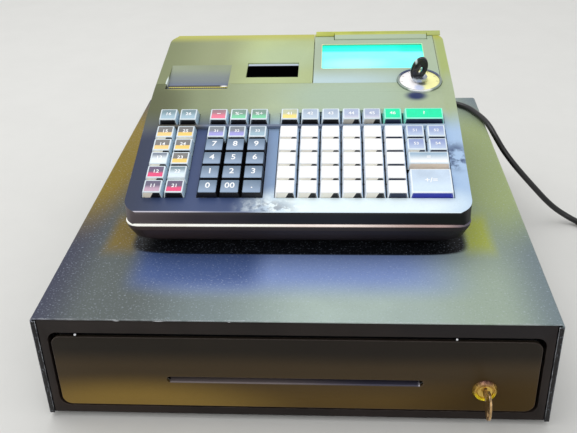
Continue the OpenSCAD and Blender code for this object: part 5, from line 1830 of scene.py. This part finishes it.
@dataclass
class Keyboard:
    """All keys, each modelled as a cap with an inlaid card and a stem.

    Attributes:
        pitch_x: distance between columns.
        pitch_s: distance between rows.
        row_start: middle of the front row, up the deck.
        top_row: middle of the back row.
        cap_w: width of a cap's top.
        cap_d: depth of a cap's top.
        rise: height of the top over the deck.
        crown: how much higher the keys of the back row stand.
        drop: how far the skirt hangs below it.
        side: how far the cap widens on each side.
        front: how far it widens in front and behind.
        caps: the caps modelled so far, by shape.
    """

    pitch_x: float = 19.0
    pitch_s: float = 17.6
    row_start: float = 26.1
    top_row: float = 118.8
    cap_w: float = 15.4
    cap_d: float = 14.8
    rise: float = 6.0
    crown: float = 1.6
    drop: float = 1.0
    side: float = 1.3
    front: float = 1.0
    caps: dict[tuple[int, int, bool, float, float], Work] = field(default_factory=dict)

    def size(self, cols: int, rows: int, trim: float) -> Pair:
        """Width and depth of a cap's top."""
        return self.cap_w + (cols - 1) * self.pitch_x, self.cap_d + (rows - 1) * self.pitch_s - trim

    def cap(self, cols: int, rows: int, inlaid: bool, rise: float, trim: float) -> Work:
        """Models a cap about the origin: tapered, rounded, hollow, on a stem.

        Args:
            cols: columns that it spans.
            rows: rows that it spans.
            inlaid: whether a card lies in its top and front.
            rise: height of its top over the deck.
            trim: how much shorter it is at the back.

        Returns:
            The cap without its finishes.
        """
        w, d = self.size(cols, rows, trim)
        bw, bd, h = w + 2 * self.side, d + 2 * self.front, rise + self.drop
        work = Work.block("cap", (bw, bd, h), (0, 0, h / 2 - self.drop))
        work.resize(Select.FACES, UP, (w / bw, d / bd, 1), center_override=(0, 0, rise))
        work.inset(facing((0, 0, -1)), 1.4)
        work.pull(lambda c, n: n.z < -0.9 and c.xy.length < 1, (0, 0, self.rise + self.drop - 1.6))
        low = 0.4 - self.drop
        work.bevel(lambda c, n: c.z > low and (abs(c.x) > w / 2 - 0.3 or abs(c.y) > d / 2 - 0.3), 0.85, 3)
        if inlaid:
            top = lambda c, n: n.z > 0.99 and c.z > rise - 0.2
            skirt = lambda c, n: n.y < -0.95 and c.y < -d / 2 and abs(c.x) < 0.5
            work.inset(top, 0.25)
            work.inset(lambda c, n: top(c, n) and c.xy.length < 1, 0.12, -0.22)
            work.inset(skirt, 0.7).inset(skirt, 0.1, -0.12)
        work.smooth(32)
        return work.join([Work.block("stem", (6, 6, 13.4), (0, trim / 2, -2.3)).round_edges(0.4, 2)])

    def plain(self, name: str, colour: Triple) -> Finish:
        """Plain key plastic in a colour."""
        return Finish(name, colour, roughness=0.28, specular=0.45, grain=Grain(1300, 0.03, 0.03, 0.05),
                      mottle=0.03, mottle_scale=30)

    def finished(self, key: Key) -> Work:
        """A cap with its card, sign and colours, still about the origin."""
        look = key.look
        inlaid = look is not SLATE
        rise = self.rise + (self.crown if key.row == BACK_ROW else 0)
        shape = (key.cols, key.rows, inlaid, rise, key.trim)
        if shape not in self.caps:
            self.caps[shape] = self.cap(*shape)
        work = self.caps[shape].twin("key")
        w, d = self.size(key.cols, key.rows, key.trim)
        top = rise - 0.5
        work.map_faces(w, d, rise)
        # On the clear caps the rim is a painted highlight and the right side painted light.
        work.paint(self.plain(f"{look.name}_rim", look.rim))
        work.paint(self.plain(f"{look.name}_side", look.side), lambda c, n: n.x > 0.5 and c.z < rise - 0.4)
        work.paint(self.plain("key_stem", KEY_BLACK),
                   lambda c, n: c.z < -self.drop or c.z < 5.0 and c.xy.length < 5)
        card = CardFinish(f"{look.name}_card", look.back, lower=look.front, split=look.split, soft=look.soft,
                          roughness=0.35, specular=0.4, grain=Grain(700, 0.02, 0.05, 0.05), mottle=0.03,
                          mottle_scale=60)
        if inlaid:
            work.paint(card, lambda c, n: n.z > 0.99 and c.z > top and abs(c.x) < w / 2 - 1.2
                       and abs(c.y) < d / 2 - 1.2)
            skirt = SkirtFinish(f"{look.name}_skirt", look.skirt, right=look.skirt_right, split=look.parting,
                                roughness=0.3, specular=0.4)
            work.paint(skirt, lambda c, n: n.y < -0.95 and abs(c.x) < w / 2 - 0.4 and -0.6 < c.z < rise - 0.8)
        else:
            work.paint(card, lambda c, n: n.z > 0.45 and c.z > top)
        if key.sign:
            level = rise - (0.2 if inlaid else 0)
            sign = Work.text("sign", key.sign, key.size / CAPITAL_SHARE, 0.16, 0.02 * key.size)
            sign.shift(Matrix.Translation((0, 0.4, level + 0.06))).paint(PRINT_WHITE)
            work.join([sign])
        return work

    def slope_place(self, key: Key) -> Matrix:
        """Matrix that brings a key from the origin to its place."""
        row = self.top_row if key.row == BACK_ROW else self.row_start + key.row * self.pitch_s
        x = key.x + (key.cols - 1) * self.pitch_x / 2
        return KEY_DECK.at(x, row + (key.rows - 1) * self.pitch_s / 2 - key.trim / 2)

    def node(self, node: str, slot: str, keys: Sequence[Key]) -> None:
        """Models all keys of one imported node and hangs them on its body."""
        made = [self.finished(key).shift(self.slope_place(key)) for key in keys]
        Work.united(f"{node}_inlaid", made).place().hang(node, slot, node)

    def column(self, x: float, looks: Sequence[KeyLook], signs: Sequence[str],
               size: float = 4) -> list[Key]:
        """A column of single keys, from the front row to the back row."""
        return [Key(x, row, look, sign=sign, size=size) for row, (look, sign) in enumerate(zip(looks, signs))]

    def rib(self) -> None:
        """Low rib of the deck between the back row and the rest."""
        work = Work.block("key_row_rib", (265, 3, 3.8), (0, 0, 1.3))
        work.soften(0.5)
        work.shift(KEY_DECK.at(0, self.top_row - self.pitch_s / 2 - 2.3))
        # Its washes are painted light like the deck's: shade towards the left, pale blue sheen towards the
        # right.
        work.paint(Finish("rib_moulding", (104, 116, 138), roughness=0.42, specular=0.25,
                          grain=Grain(1200, 0.05, 0.04, 0.06), mottle=0.05, mottle_scale=30,
                          washes=(Wash((92, 90, 84), (-84, 0, 0), (-100, 0, 0)),
                                  Wash((172, 192, 214), (10, 0, 0), (110, 0, 0)))))
        work.place().hang("register_case", "housing_upper")

    def build(self) -> None:
        """Makes every key of the keyboard."""
        self.rib()
        left, numbers, departments, right = -123.5, -76, -9.5, 104.5
        p = self.pitch_x
        self.node("left_keys_outer", "left_cap", self.column(
            left, (MAUVE_SPLIT, CRIMSON_SPLIT, SNOW_SPLIT, AMBER_SPLIT, AMBER_SPLIT, STEEL_BLUE),
            ("11", "12", "13", "14", "15", "16")))
        self.node("left_keys_inner", "left_cap", self.column(
            left + p, (CRIMSON, SNOW, AMBER, AMBER, AMBER_CREAM, STEEL_BLUE),
            ("21", "22", "23", "24", "25", "26")))
        digits = (("0", "00", "."), ("1", "2", "3"), ("4", "5", "6"), ("7", "8", "9"))
        for row, names in enumerate(digits):
            for col, sign in enumerate(names):
                node = "key_point" if sign == "." else f"key_{sign}"
                self.node(node, "number_cap", [Key(numbers + col * p, row, SLATE, sign=sign, size=6.4)])
        tops = ((4, (VIOLET, VIOLET, DUSK), ("31", "32", "33"), (3.4, 3.4, 3.4)),
                (BACK_ROW, (ROSE, MINT, MINT), ("−", "%−", "%+"), (5, 4, 4)))
        self.node("number_top_keys", "top_cap", [
            Key(numbers + col * p, row, look, sign=sign, size=size)
            for row, *columns in tops for col, (look, sign, size) in enumerate(zip(*columns))])
        crowns = (STRAW, MIST, MIST, LILAC_SPLIT, LILAC_SPLIT, EMERALD)
        for pair, node in enumerate(("department_keys_a", "department_keys_b", "department_keys_c")):
            keys: list[Key] = []
            for col in (2 * pair, 2 * pair + 1):
                body = WHITE_NAVY if col == 5 else WHITE_SPLIT
                keys += self.column(departments + col * p, (body,) * 5 + (crowns[col],),
                                    ("",) * 5 + (str(41 + col),))
            self.node(node, "department_cap", keys)
        tenders = ((3, 0, LAVENDER_SPLIT, "53"), (3, 1, LAVENDER, "54"), (4, 0, LAVENDER, "51"),
                   (4, 1, LAVENDER, "52"))
        self.node("tender_keys", "tender_cap", [
            Key(right + col * p, row, look, sign=sign, size=3.4) for row, col, look, sign in tenders])
        self.node("subtotal_key", "subtotal_cap", [Key(right, 2, SUM, 2, 1, "=", 5)])
        self.node("cash_key", "cash_cap", [Key(right, 0, CASH, 2, 2, "+/=", 5.6, 4)])
        self.node("help_key", "help_cap", [Key(right, BACK_ROW, EMERALD, 2, 1, "?", 4.4)])
        for cap in self.caps.values():
            cap.discard()


# ---------------------------------------------------------------- displays and mode lock


@dataclass
class Displays:
    """The display on the deck and the one that rises for the customer.

    Attributes:
        left: left edge of the panel.
        width: width of the panel.
        start: its front edge, up the rear deck; not used.
        lcd: left, front, right and back of the glowing field.
        slot: left and right of the slot in which the customer's display rises.
        ridge: height of the ridge behind it.
    """

    left: float = 10.6
    width: float = 125.4
    start: float = 1.0
    lcd: tuple[float, float, float, float] = (18.0, 29.2, 123.7, 80.8)
    slot: Pair = (30.9, 130.1)
    ridge: float = 3.6

    def panel(self) -> None:
        """The panel round the display."""
        skin = SpeckledFinish(
            "panel_moulding", (170, 186, 162), roughness=0.36,
            grain=Grain(1500, 0.04, 0.03, 0.05), mottle=0.03, mottle_scale=12,
            # The washes are painted sheen: pale blue towards the front, back to khaki towards the right.
            washes=(
                Wash((184, 208, 214), (0, 62, 0), (0, 34, 0), 0.9),
                Wash((168, 186, 158), (40, 0, 0), (self.left + self.width, 0, 0), 0.7),
            ), specks=0.06, speck_scale=400)
        rounded("display_panel", "display_panel_moulded", "register_case", "panel_plastic", skin, 0.35, 3)

    def glow(self) -> None:
        """The lit field, darker along its back edge, with its rim."""
        x0, s0, x1, s1 = self.lcd
        back, front = (REAR_DECK.at(0, s).translation for s in (s1, s0))
        band = back.lerp(front, 0.28)
        lit = Finish(
            "lcd_light", (112, 236, 230), roughness=0.3, specular=0.2, glow=0.62,
            grain=Grain(300, 0, 0.03, 0), mottle=0.03, mottle_scale=40,
            washes=(
                Wash((14, 216, 188), (0, band.y - 2, band.z - 0.4), (0, band.y + 3, band.z + 0.5), 0.95),
            ),
            patches=(
                Patch((0, 206, 178), (x1 - 10, back.y - 8, back.z), (20, 10, 10), 0.9, 0.3, 1),
                Patch((150, 246, 244), (x0 + 34, front.y + 12, front.z), (50, 18, 10), 0.8, 0.2),
            ))
        frame = Finish("lcd_frame", (206, 214, 168), roughness=0.4,
                       grain=Grain(700, 0.03, 0.05, 0.05))
        above = facing(REAR_DECK.at(0, 0).to_3x3() @ Vector((0, 0, 1)), 0.95)
        rounded("lcd_module", "lcd_module_lit", "register_case", "lcd_glow", frame, 0.25,
                parts=((lit, above),))
        margin = 0.8
        wide, deep = x1 - x0, s1 - s0
        rim = Work.block("lcd_rim", (wide + margin, deep + margin, 0.5))
        rim.cut(Work.block("hollow", (wide - margin, deep - margin, 4)).bevel(upright, 2, 5))
        rim.round_edges(0.12, 2)
        # The rim is no lamp: its glow and its green towards the right are painted light from the display.
        rim.paint(Finish("lcd_rim_print", (222, 214, 168), roughness=0.4, glow=0.15,
                         grain=Grain(500, 0.02, 0.08, 0.03),
                         washes=(Wash((176, 240, 188), (40, 0, 0), (118, 0, 0)),)))
        rim.place(REAR_DECK.at((x0 + x1) / 2, (s0 + s1) / 2, -0.3)).hang("register_case", "panel_plastic")

    def customer(self) -> None:
        """The display that rises behind the deck, its top sloping up to the ridge behind it."""
        # The olive, used on the ridge too, is painted reflection of yellow light along the back; the
        # grey-green patch on the front of the top carries on the display panel's painted sheen.
        olive = Finish("popup_moulding", (184, 190, 88), roughness=0.4, specular=0.25,
                       grain=Grain(1300, 0.05, 0.04, 0.05), mottle=0.05, mottle_scale=30,
                       washes=(Wash((176, 186, 112), (60, 0, 0), (140, 0, 0)),),
                       patches=(Patch((172, 188, 162), (80, 120, 214.5), (56, 6.2, 4), 1, 0.94, 1),))
        smoke = Finish("popup_filter", (14, 22, 24), roughness=0.1, specular=0.5, coat=0.4,
                       grain=Grain(300, 0, 0.02, 0.01))
        deck = REAR_DECK.at(0, 0)
        low, high = (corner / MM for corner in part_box("customer_display"))
        work = Work.copy_of("customer_display", "customer_display_moulded")
        for vert in work.obj.data.vertices:
            if vert.co.z > high.z - 1.0:
                spot = deck.inverted() @ vert.co
                spot.z = 0.4 + (spot.y - 90.9) * 0.26
                vert.co.z = (deck @ spot).z
        work.soften(0.5, 3).paint(olive)
        work.paint(smoke, lambda c, n: n.y > 0.9 and c.y < high.y - 0.5 and c.z > low.z + 2)
        work.place().hang("popup_display", "popup_plastic", "customer_display")
        self.back_ridge(olive)

    def back_ridge(self, finish: Finish) -> None:
        """Ridge along the back of the deck, open where the customer's display rises."""
        work = Work.block("back_ridge", (133, 5, self.ridge + 0.3), (78, 100.9, self.ridge / 2 - 0.15))
        near_top = lambda c, n: c.z > 0.0 and c.y < 99.0
        work.edit(Select.VERTS, "translate", near_top, value=(0, 0, 0.8 - self.ridge))
        x0, x1 = self.slot
        work.cut(Work.block("slot", (x1 - x0, 8, 20), ((x0 + x1) / 2, 97, 0)))
        work.round_edges(0.6, 3, 30).smooth().paint(finish)
        work.place(REAR_DECK.at(0, 0)).hang("register_case", "panel_plastic")

    def build(self) -> None:
        """Makes both displays."""
        self.panel()
        self.glow()
        self.customer()


@dataclass
class ModeLock:
    """The mode lock: chromed ring, dial and the key that stands in it.

    Attributes:
        x: its distance from the middle.
        s: its place up the rear deck.
        ring_r: outer radius of the ring.
        bow_w: width of the key's bow.
        bow_h: height of the bow.
        bow_t: thickness of the bow.
        bow_mid: height of the bow's middle over the deck.
        lean: how far the bow leans to the right, in degrees.
        step: turn from one mark of the dial to the next.
    """

    x: float = 115.0
    s: float = 4.0
    ring_r: float = 21.8
    bow_w: float = 15.2
    bow_h: float = 25.0
    bow_t: float = 3.6
    bow_mid: float = 13.6
    lean: float = 19.0
    step: float = 32.0

    def ring(self) -> None:
        """The ring with its rolled edge."""
        work = Work.copy_of("mode_ring", "mode_ring_turned").round_edges(0.5, 4, 40).smooth(50)
        # Painted reflections: navy at the back left and right; the white patch at the front is a painted
        # highlight.
        work.paint(Finish("ring_chrome_skin", (150, 164, 156), roughness=0.16, metallic=0.5,
                          specular=0.5, grain=Grain(300, 0.01, 0.05, 0.06),
                          patches=(Patch((60, 72, 116), (self.x - 14, 48, 202), (14, 12, 12), 0.9, 0.3),
                                   Patch((64, 74, 116), (self.x + 15, 46, 202), (12, 14, 12), 0.9, 0.3),
                                   Patch((255, 255, 255), (self.x - 1, 13, 196), (15, 7, 8), 1, 0.6))))
        work.place().hang("register_case", "ring_chrome", "mode_ring")

    def dial(self) -> None:
        """The dial with a raised boss and fine marks for its positions."""
        x, y = self.x, REAR_DECK.at(self.x, self.s).translation.y
        # Painted light: a slight glow, a bluish patch of painted shade below the collar and a darker painted
        # shadow beside it; the dial is white at the left and pale yellow at the right.
        skin = Finish("dial_skin", (255, 250, 176), roughness=0.35, specular=0.4, glow=0.04,
                      grain=Grain(900, 0.02, 0.03, 0.04), mottle=0.02,
                      washes=(Wash((255, 252, 252), (x + 3, 0, 0), (x - 3, 0, 0)),),
                      patches=(Patch((196, 206, 236), (x - 1, y - 14, 196), (7, 9, 9), 0.95, 0.3),
                               Patch((70, 78, 96), (x + 2, y - 7, 197), (6, 4, 9), 0.8, 0.3)))
        rounded("mode_plate", "mode_plate_printed", "register_case", "dial_cream", skin, 0.2)
        marks = []
        for step in range(-3, 4):
            mark = Work.block("mark", (0.5, 2.6, 0.14), (0, self.ring_r - 4.6, 0)).round_edges(0.05, 1)
            marks.append(mark.shift(Matrix.Rotation(math.radians(step * self.step), 4, "Z")))
        whole = Work.united("mode_marks", marks)
        whole.paint(Finish("mark_print", (150, 150, 138), specular=0.2,
                           grain=Grain(600, 0.01, 0.05, 0.03)))
        whole.place(REAR_DECK.at(self.x, self.s, 0.42)).hang("register_case", "dial_cream")

    def bow(self) -> Work:
        """The key's bow: two dished cheeks and a long hole."""
        bow = Work.disc("mode_key_moulded", self.bow_h / 2, self.bow_t, (0, 0, 0), (90, 0, 0), 64)
        bow.resize(Select.VERTS, None, (self.bow_w / self.bow_h, 1, 1))
        for side in (1, -1):
            bow.inset(facing((0, side, 0), 0.95), 1.7)
            bow.inset(lambda c, n, k=side: n.y * k > 0.95 and c.length < self.bow_t, 0.5, -0.4)
        middle = (1.7, 0, -1)
        hole = Work.disc("hole", 3.7, 12, middle, (90, 0, 0), 32)
        bow.cut(hole.resize(Select.VERTS, None, (0.34, 1, 1), center_override=middle))
        bow.round_edges(0.6, 3, 35).smooth()
        lean = Matrix.Rotation(math.radians(self.lean), 4, "Y")
        bow.shift(Matrix.Translation((-1.1, 0, self.bow_mid)) @ lean)
        # The white patch on the bow's upper left rim is a painted highlight.
        return bow.paint(Finish(
            "bow_moulding", (10, 10, 16), roughness=0.14, specular=0.5, coat=0.3,
            grain=Grain(500, 0.01, 0.03, 0.03),
            patches=(Patch((226, 240, 246), (self.x - 4.4, 30, 219), (1.8, 6, 4), 0.9, 0.2),)))

    def key(self) -> None:
        """The key: its bow, a silver collar, the blade and the post that turns with it."""
        bow = self.bow()
        collar = Work.disc("collar", 7.6, 3.6, (0, 0, 3.6), (0, 0, 12), 10)
        collar.inset(UP, 1.6).inset(lambda c, n: n.z > 0.9 and c.xy.length < 1, 0.5, -0.9)
        collar.round_edges(0.35, 2).smooth(30)
        blade = Work.block("blade", (7, 2, 8), (0, 0, 5))
        blade.cut(Work.block("groove", (1.4, 1, 30), (1, -1, 0))).round_edges(0.2, 2)
        post = Work.copy_of("mode_key", "post")
        post.shift(REAR_DECK.at(self.x, self.s).inverted())
        old_bow = lambda c, n: c.z > 2.2 or c.xy.length < 4.2 and c.z > 1.0
        post.edit(Select.VERTS, "delete", old_bow, type="VERT")
        post.edit(Select.EDGES, "edge_face_add", lambda c, n: c.z > 1.9)
        lid = lambda c, n: n.z > 0.9 and c.z > 1.9
        post.inset(lid, 1.2).inset(lambda c, n: lid(c, n) and c.xy.length < 1, 0.4, -0.35)
        post.round_edges(0.25, 2, 35).smooth().join([collar, blade])
        post.paint(Finish("key_nickel", (186, 194, 206), roughness=0.2, metallic=0.8, specular=0.5,
                          grain=Grain(300, 0.02, 0.06, 0.06)))
        post.join([bow])
        post.obj.name = "mode_key_moulded"
        post.place(REAR_DECK.at(self.x, self.s)).hang("mode_lock", "mode_key_black", "mode_key")

    def build(self) -> None:
        """Makes the lock and its key."""
        self.ring()
        self.dial()
        self.key()


# ---------------------------------------------------------------- printer


@dataclass
class Printer:
    """The printer under its cover.

    Attributes:
        receipt_x: middle of the receipt scoop.
        scoop_w: its width.
        window_x: middle of the journal window.
        lips: left and right of each length of the cover's rear lip, clear of its hinges.
    """

    receipt_x: float = -105.0
    scoop_w: float = 62.0
    window_x: float = -31.2
    lips: tuple[Pair, ...] = ((-143.0, -122.2), (-117.8, -9.5), (-5.1, 9.5))

    def cover(self) -> None:
        """The cover over the printer, with its scoop for the receipt."""
        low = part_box("printer_cover")[0] / MM
        # The lid's colours are painted light: khaki sheen, painted shade towards the left, a yellow-olive
        # painted highlight along the back rounding, paler sheen in the middle and a white painted highlight
        # on the scoop's left wall.
        lid = SpeckledFinish(
            "lid_painted_sheen", (177, 190, 138), roughness=0.42, specular=0.25,
            grain=DECK_GRAIN, mottle=0.03, mottle_scale=10,
            washes=(
                Wash((147, 155, 116), (-40, 0, 0), (-91, 0, 0)),
                Wash((123, 131, 93), (-91, 0, 0), (low.x, 0, 0)),
                Wash((186, 186, 86), (0, 114, 0), (0, 131, 0), 0.9),
            ),
            patches=(
                Patch((172, 190, 156), (-16, 84, 205), (66, 40, 30), 0.6, 0.2),
                Patch((228, 240, 238), (self.receipt_x - 31, 35, 200), (1.8, 13, 9), 0.95, 0.4),
            ),
            wear=Wear((190, 196, 196), 0.6, 0.2, 90), specks=0.08, speck_scale=420)
        # Painted shade: the scoop darkens and turns blue-grey towards the slot.
        scoop = Finish("scoop_moulding", (140, 150, 124), roughness=0.3, specular=0.25,
                       grain=Grain(1200, 0.03, 0.03, 0.05), mottle=0.03,
                       washes=(Wash((116, 126, 128), (0, 64, 0), (0, 46, 0)),
                               Wash((96, 108, 132), (0, 46, 0), (0, 34, 0))))
        inner = Finish("lid_inside", (54, 57, 56), roughness=0.6, specular=0.2,
                       grain=INSIDE_GRAIN)
        level = REAR_DECK.at(0, 0).inverted()
        work = Work.copy_of("printer_cover", "printer_cover_moulded").square_off(*REAR_ROUNDING)
        for x0, x1 in self.lips:
            work.cut(Work.block("rear_lip", (x1 - x0, 2.35, 8), ((x0 + x1) / 2, 130.775, 202.6)), "UNION")
        work.soften(0.5, 3, 38).paint(lid)
        work.paint(inner, lambda c, n: n.z < -0.2 or (level @ c).z < -7)
        half = self.scoop_w / 2 + 0.6
        work.paint(scoop, lambda c, n: abs(c.x - self.receipt_x) < half and (level @ c).z < -0.12
                   and n.z > 0.4 and c.y < 72)
        work.place().hang("printer_lid", "printer_lid_plastic", "printer_cover")

    def window(self) -> None:
        """Smoked window over the journal, with a step moulded round it."""
        work = Work.copy_of("cover_window", "cover_window_moulded").inset(UP, 1.6, 0.25)
        y = REAR_DECK.at(self.window_x, 42).translation.y
        work.soften(0.25)
        # The pale strip along the window's back edge is a painted reflection.
        work.paint(Finish("smoked_pane", (2, 2, 3), roughness=0.3, specular=0,
                          grain=Grain(200, 0, 0.02, 0.01), mottle=0.02,
                          washes=(Wash((200, 212, 226), (0, y - 5, 0), (0, y - 3, 0), 0.9),)))
        work.place().hang("printer_lid", "smoked_window", "cover_window")

    def tear_bar(self) -> None:
        """Serrated steel strip, its teeth ground to a bevel."""
        # Painted light on the bar: yellow as the highlight of the lip before the slot, a near-black band of
        # painted shade in the slot, blue-grey carrying on the scoop's painted shade and a white painted
        # highlight.
        skin = Finish("tear_bar_painted_light", (204, 194, 96), roughness=0.3,
                      grain=Grain(400, 0.02, 0.05, 0.1),
                      washes=(Wash((14, 15, 19), (0, 33.5, 0), (0, 34.1, 0)),
                              Wash((98, 110, 134), (0, 35.5, 0), (0, 36.1, 0))),
                      patches=(Patch((255, 255, 255), (-79, 34.6, 196), (5, 1.2, 9), 1, 0.5),))
        rounded("tear_bar", "tear_bar_ground", "printer_lid", "bar_steel", skin, 0.12, 1, 30)

    def paper(self) -> None:
        """Receipt and journal rolls, wound round cores."""
        white = Finish("paper", (242, 242, 236), roughness=0.8, specular=0.15,
                       grain=Grain(1600, 0.04, 0.03, 0.03), mottle=0.02)
        card = Finish("core_card", (176, 150, 116), roughness=0.8, specular=0.15,
                      grain=Grain(900, 0.08, 0.08, 0.03))
        for node, body in (("receipt_roll", "receipt_paper"), ("journal_roll", "journal_paper")):
            middle, radius = self.axis(node)
            work = Work.copy_of(node, f"{node}_wound")
            for side in (1, -1):
                work.inset(facing((side, 0, 0)), 0.8)
            work.soften(0.2).paint(white)
            work.paint(card, lambda c, n, m=middle, r=radius * 0.42: (c.yz - m).length < r)
            work.place().hang(body, "paper_white", node)

    @staticmethod
    def axis(node: str) -> tuple[Vector, float]:
        """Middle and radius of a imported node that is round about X."""
        low, high = (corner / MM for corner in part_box(node))
        return ((low + high) / 2).yz, (high.z - low.z) / 2

    def works(self) -> None:
        """Chassis, platen and take-up reel."""
        skin = Finish("chassis_moulding", (52, 54, 58), specular=0.25,
                      grain=Grain(900, 0.05, 0.05, 0.06), mottle=0.06)
        low, high = (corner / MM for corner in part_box("printer_chassis"))
        plates = lambda c, n: abs(n.x) < 0.2 and c.y < low.y + 14.0 and c.z > high.z - 26.0
        rounded("printer_chassis", "printer_chassis_moulded", "register_case", "chassis_plastic", skin,
                0.35, 2, 38, ((BARE_STEEL, plates),))
        middle, radius = self.axis("platen_roller")
        skin = Finish("platen_rubber_skin", (30, 30, 32), roughness=0.7, specular=0.2,
                      grain=Grain(600, 0.06, 0.05, 0.06))
        rounded("platen_roller", "platen_roller_turned", "platen", "platen_rubber", skin, 0.3,
                parts=((BARE_STEEL, lambda c, n: (c.yz - middle).length < radius * 0.6),))
        skin = Finish("reel_moulding", (206, 204, 196), roughness=0.45,
                      grain=Grain(900, 0.04, 0.04, 0.05))
        rounded("take_up_reel", "take_up_reel_moulded", "journal_reel", "reel_plastic", skin, 0.3)

    def build(self) -> None:
        """Makes the cover and everything under it."""
        self.cover()
        self.window()
        self.tear_bar()
        self.paper()
        self.works()


# ---------------------------------------------------------------- the whole


def main() -> None:
    """Builds every sub-assembly in order."""
    logging.basicConfig(level=logging.INFO, format="%(name)s: %(message)s")
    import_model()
    studio = Studio()
    studio.camera()
    MainsLead().build()
    studio.build()
    parts = (DrawerCase(), Drawer(), DrawerLock(), Housing(), Keyboard(), Displays(), ModeLock(), Printer())
    for part in parts:
        part.build()


if __name__ == "__main__":
    main()
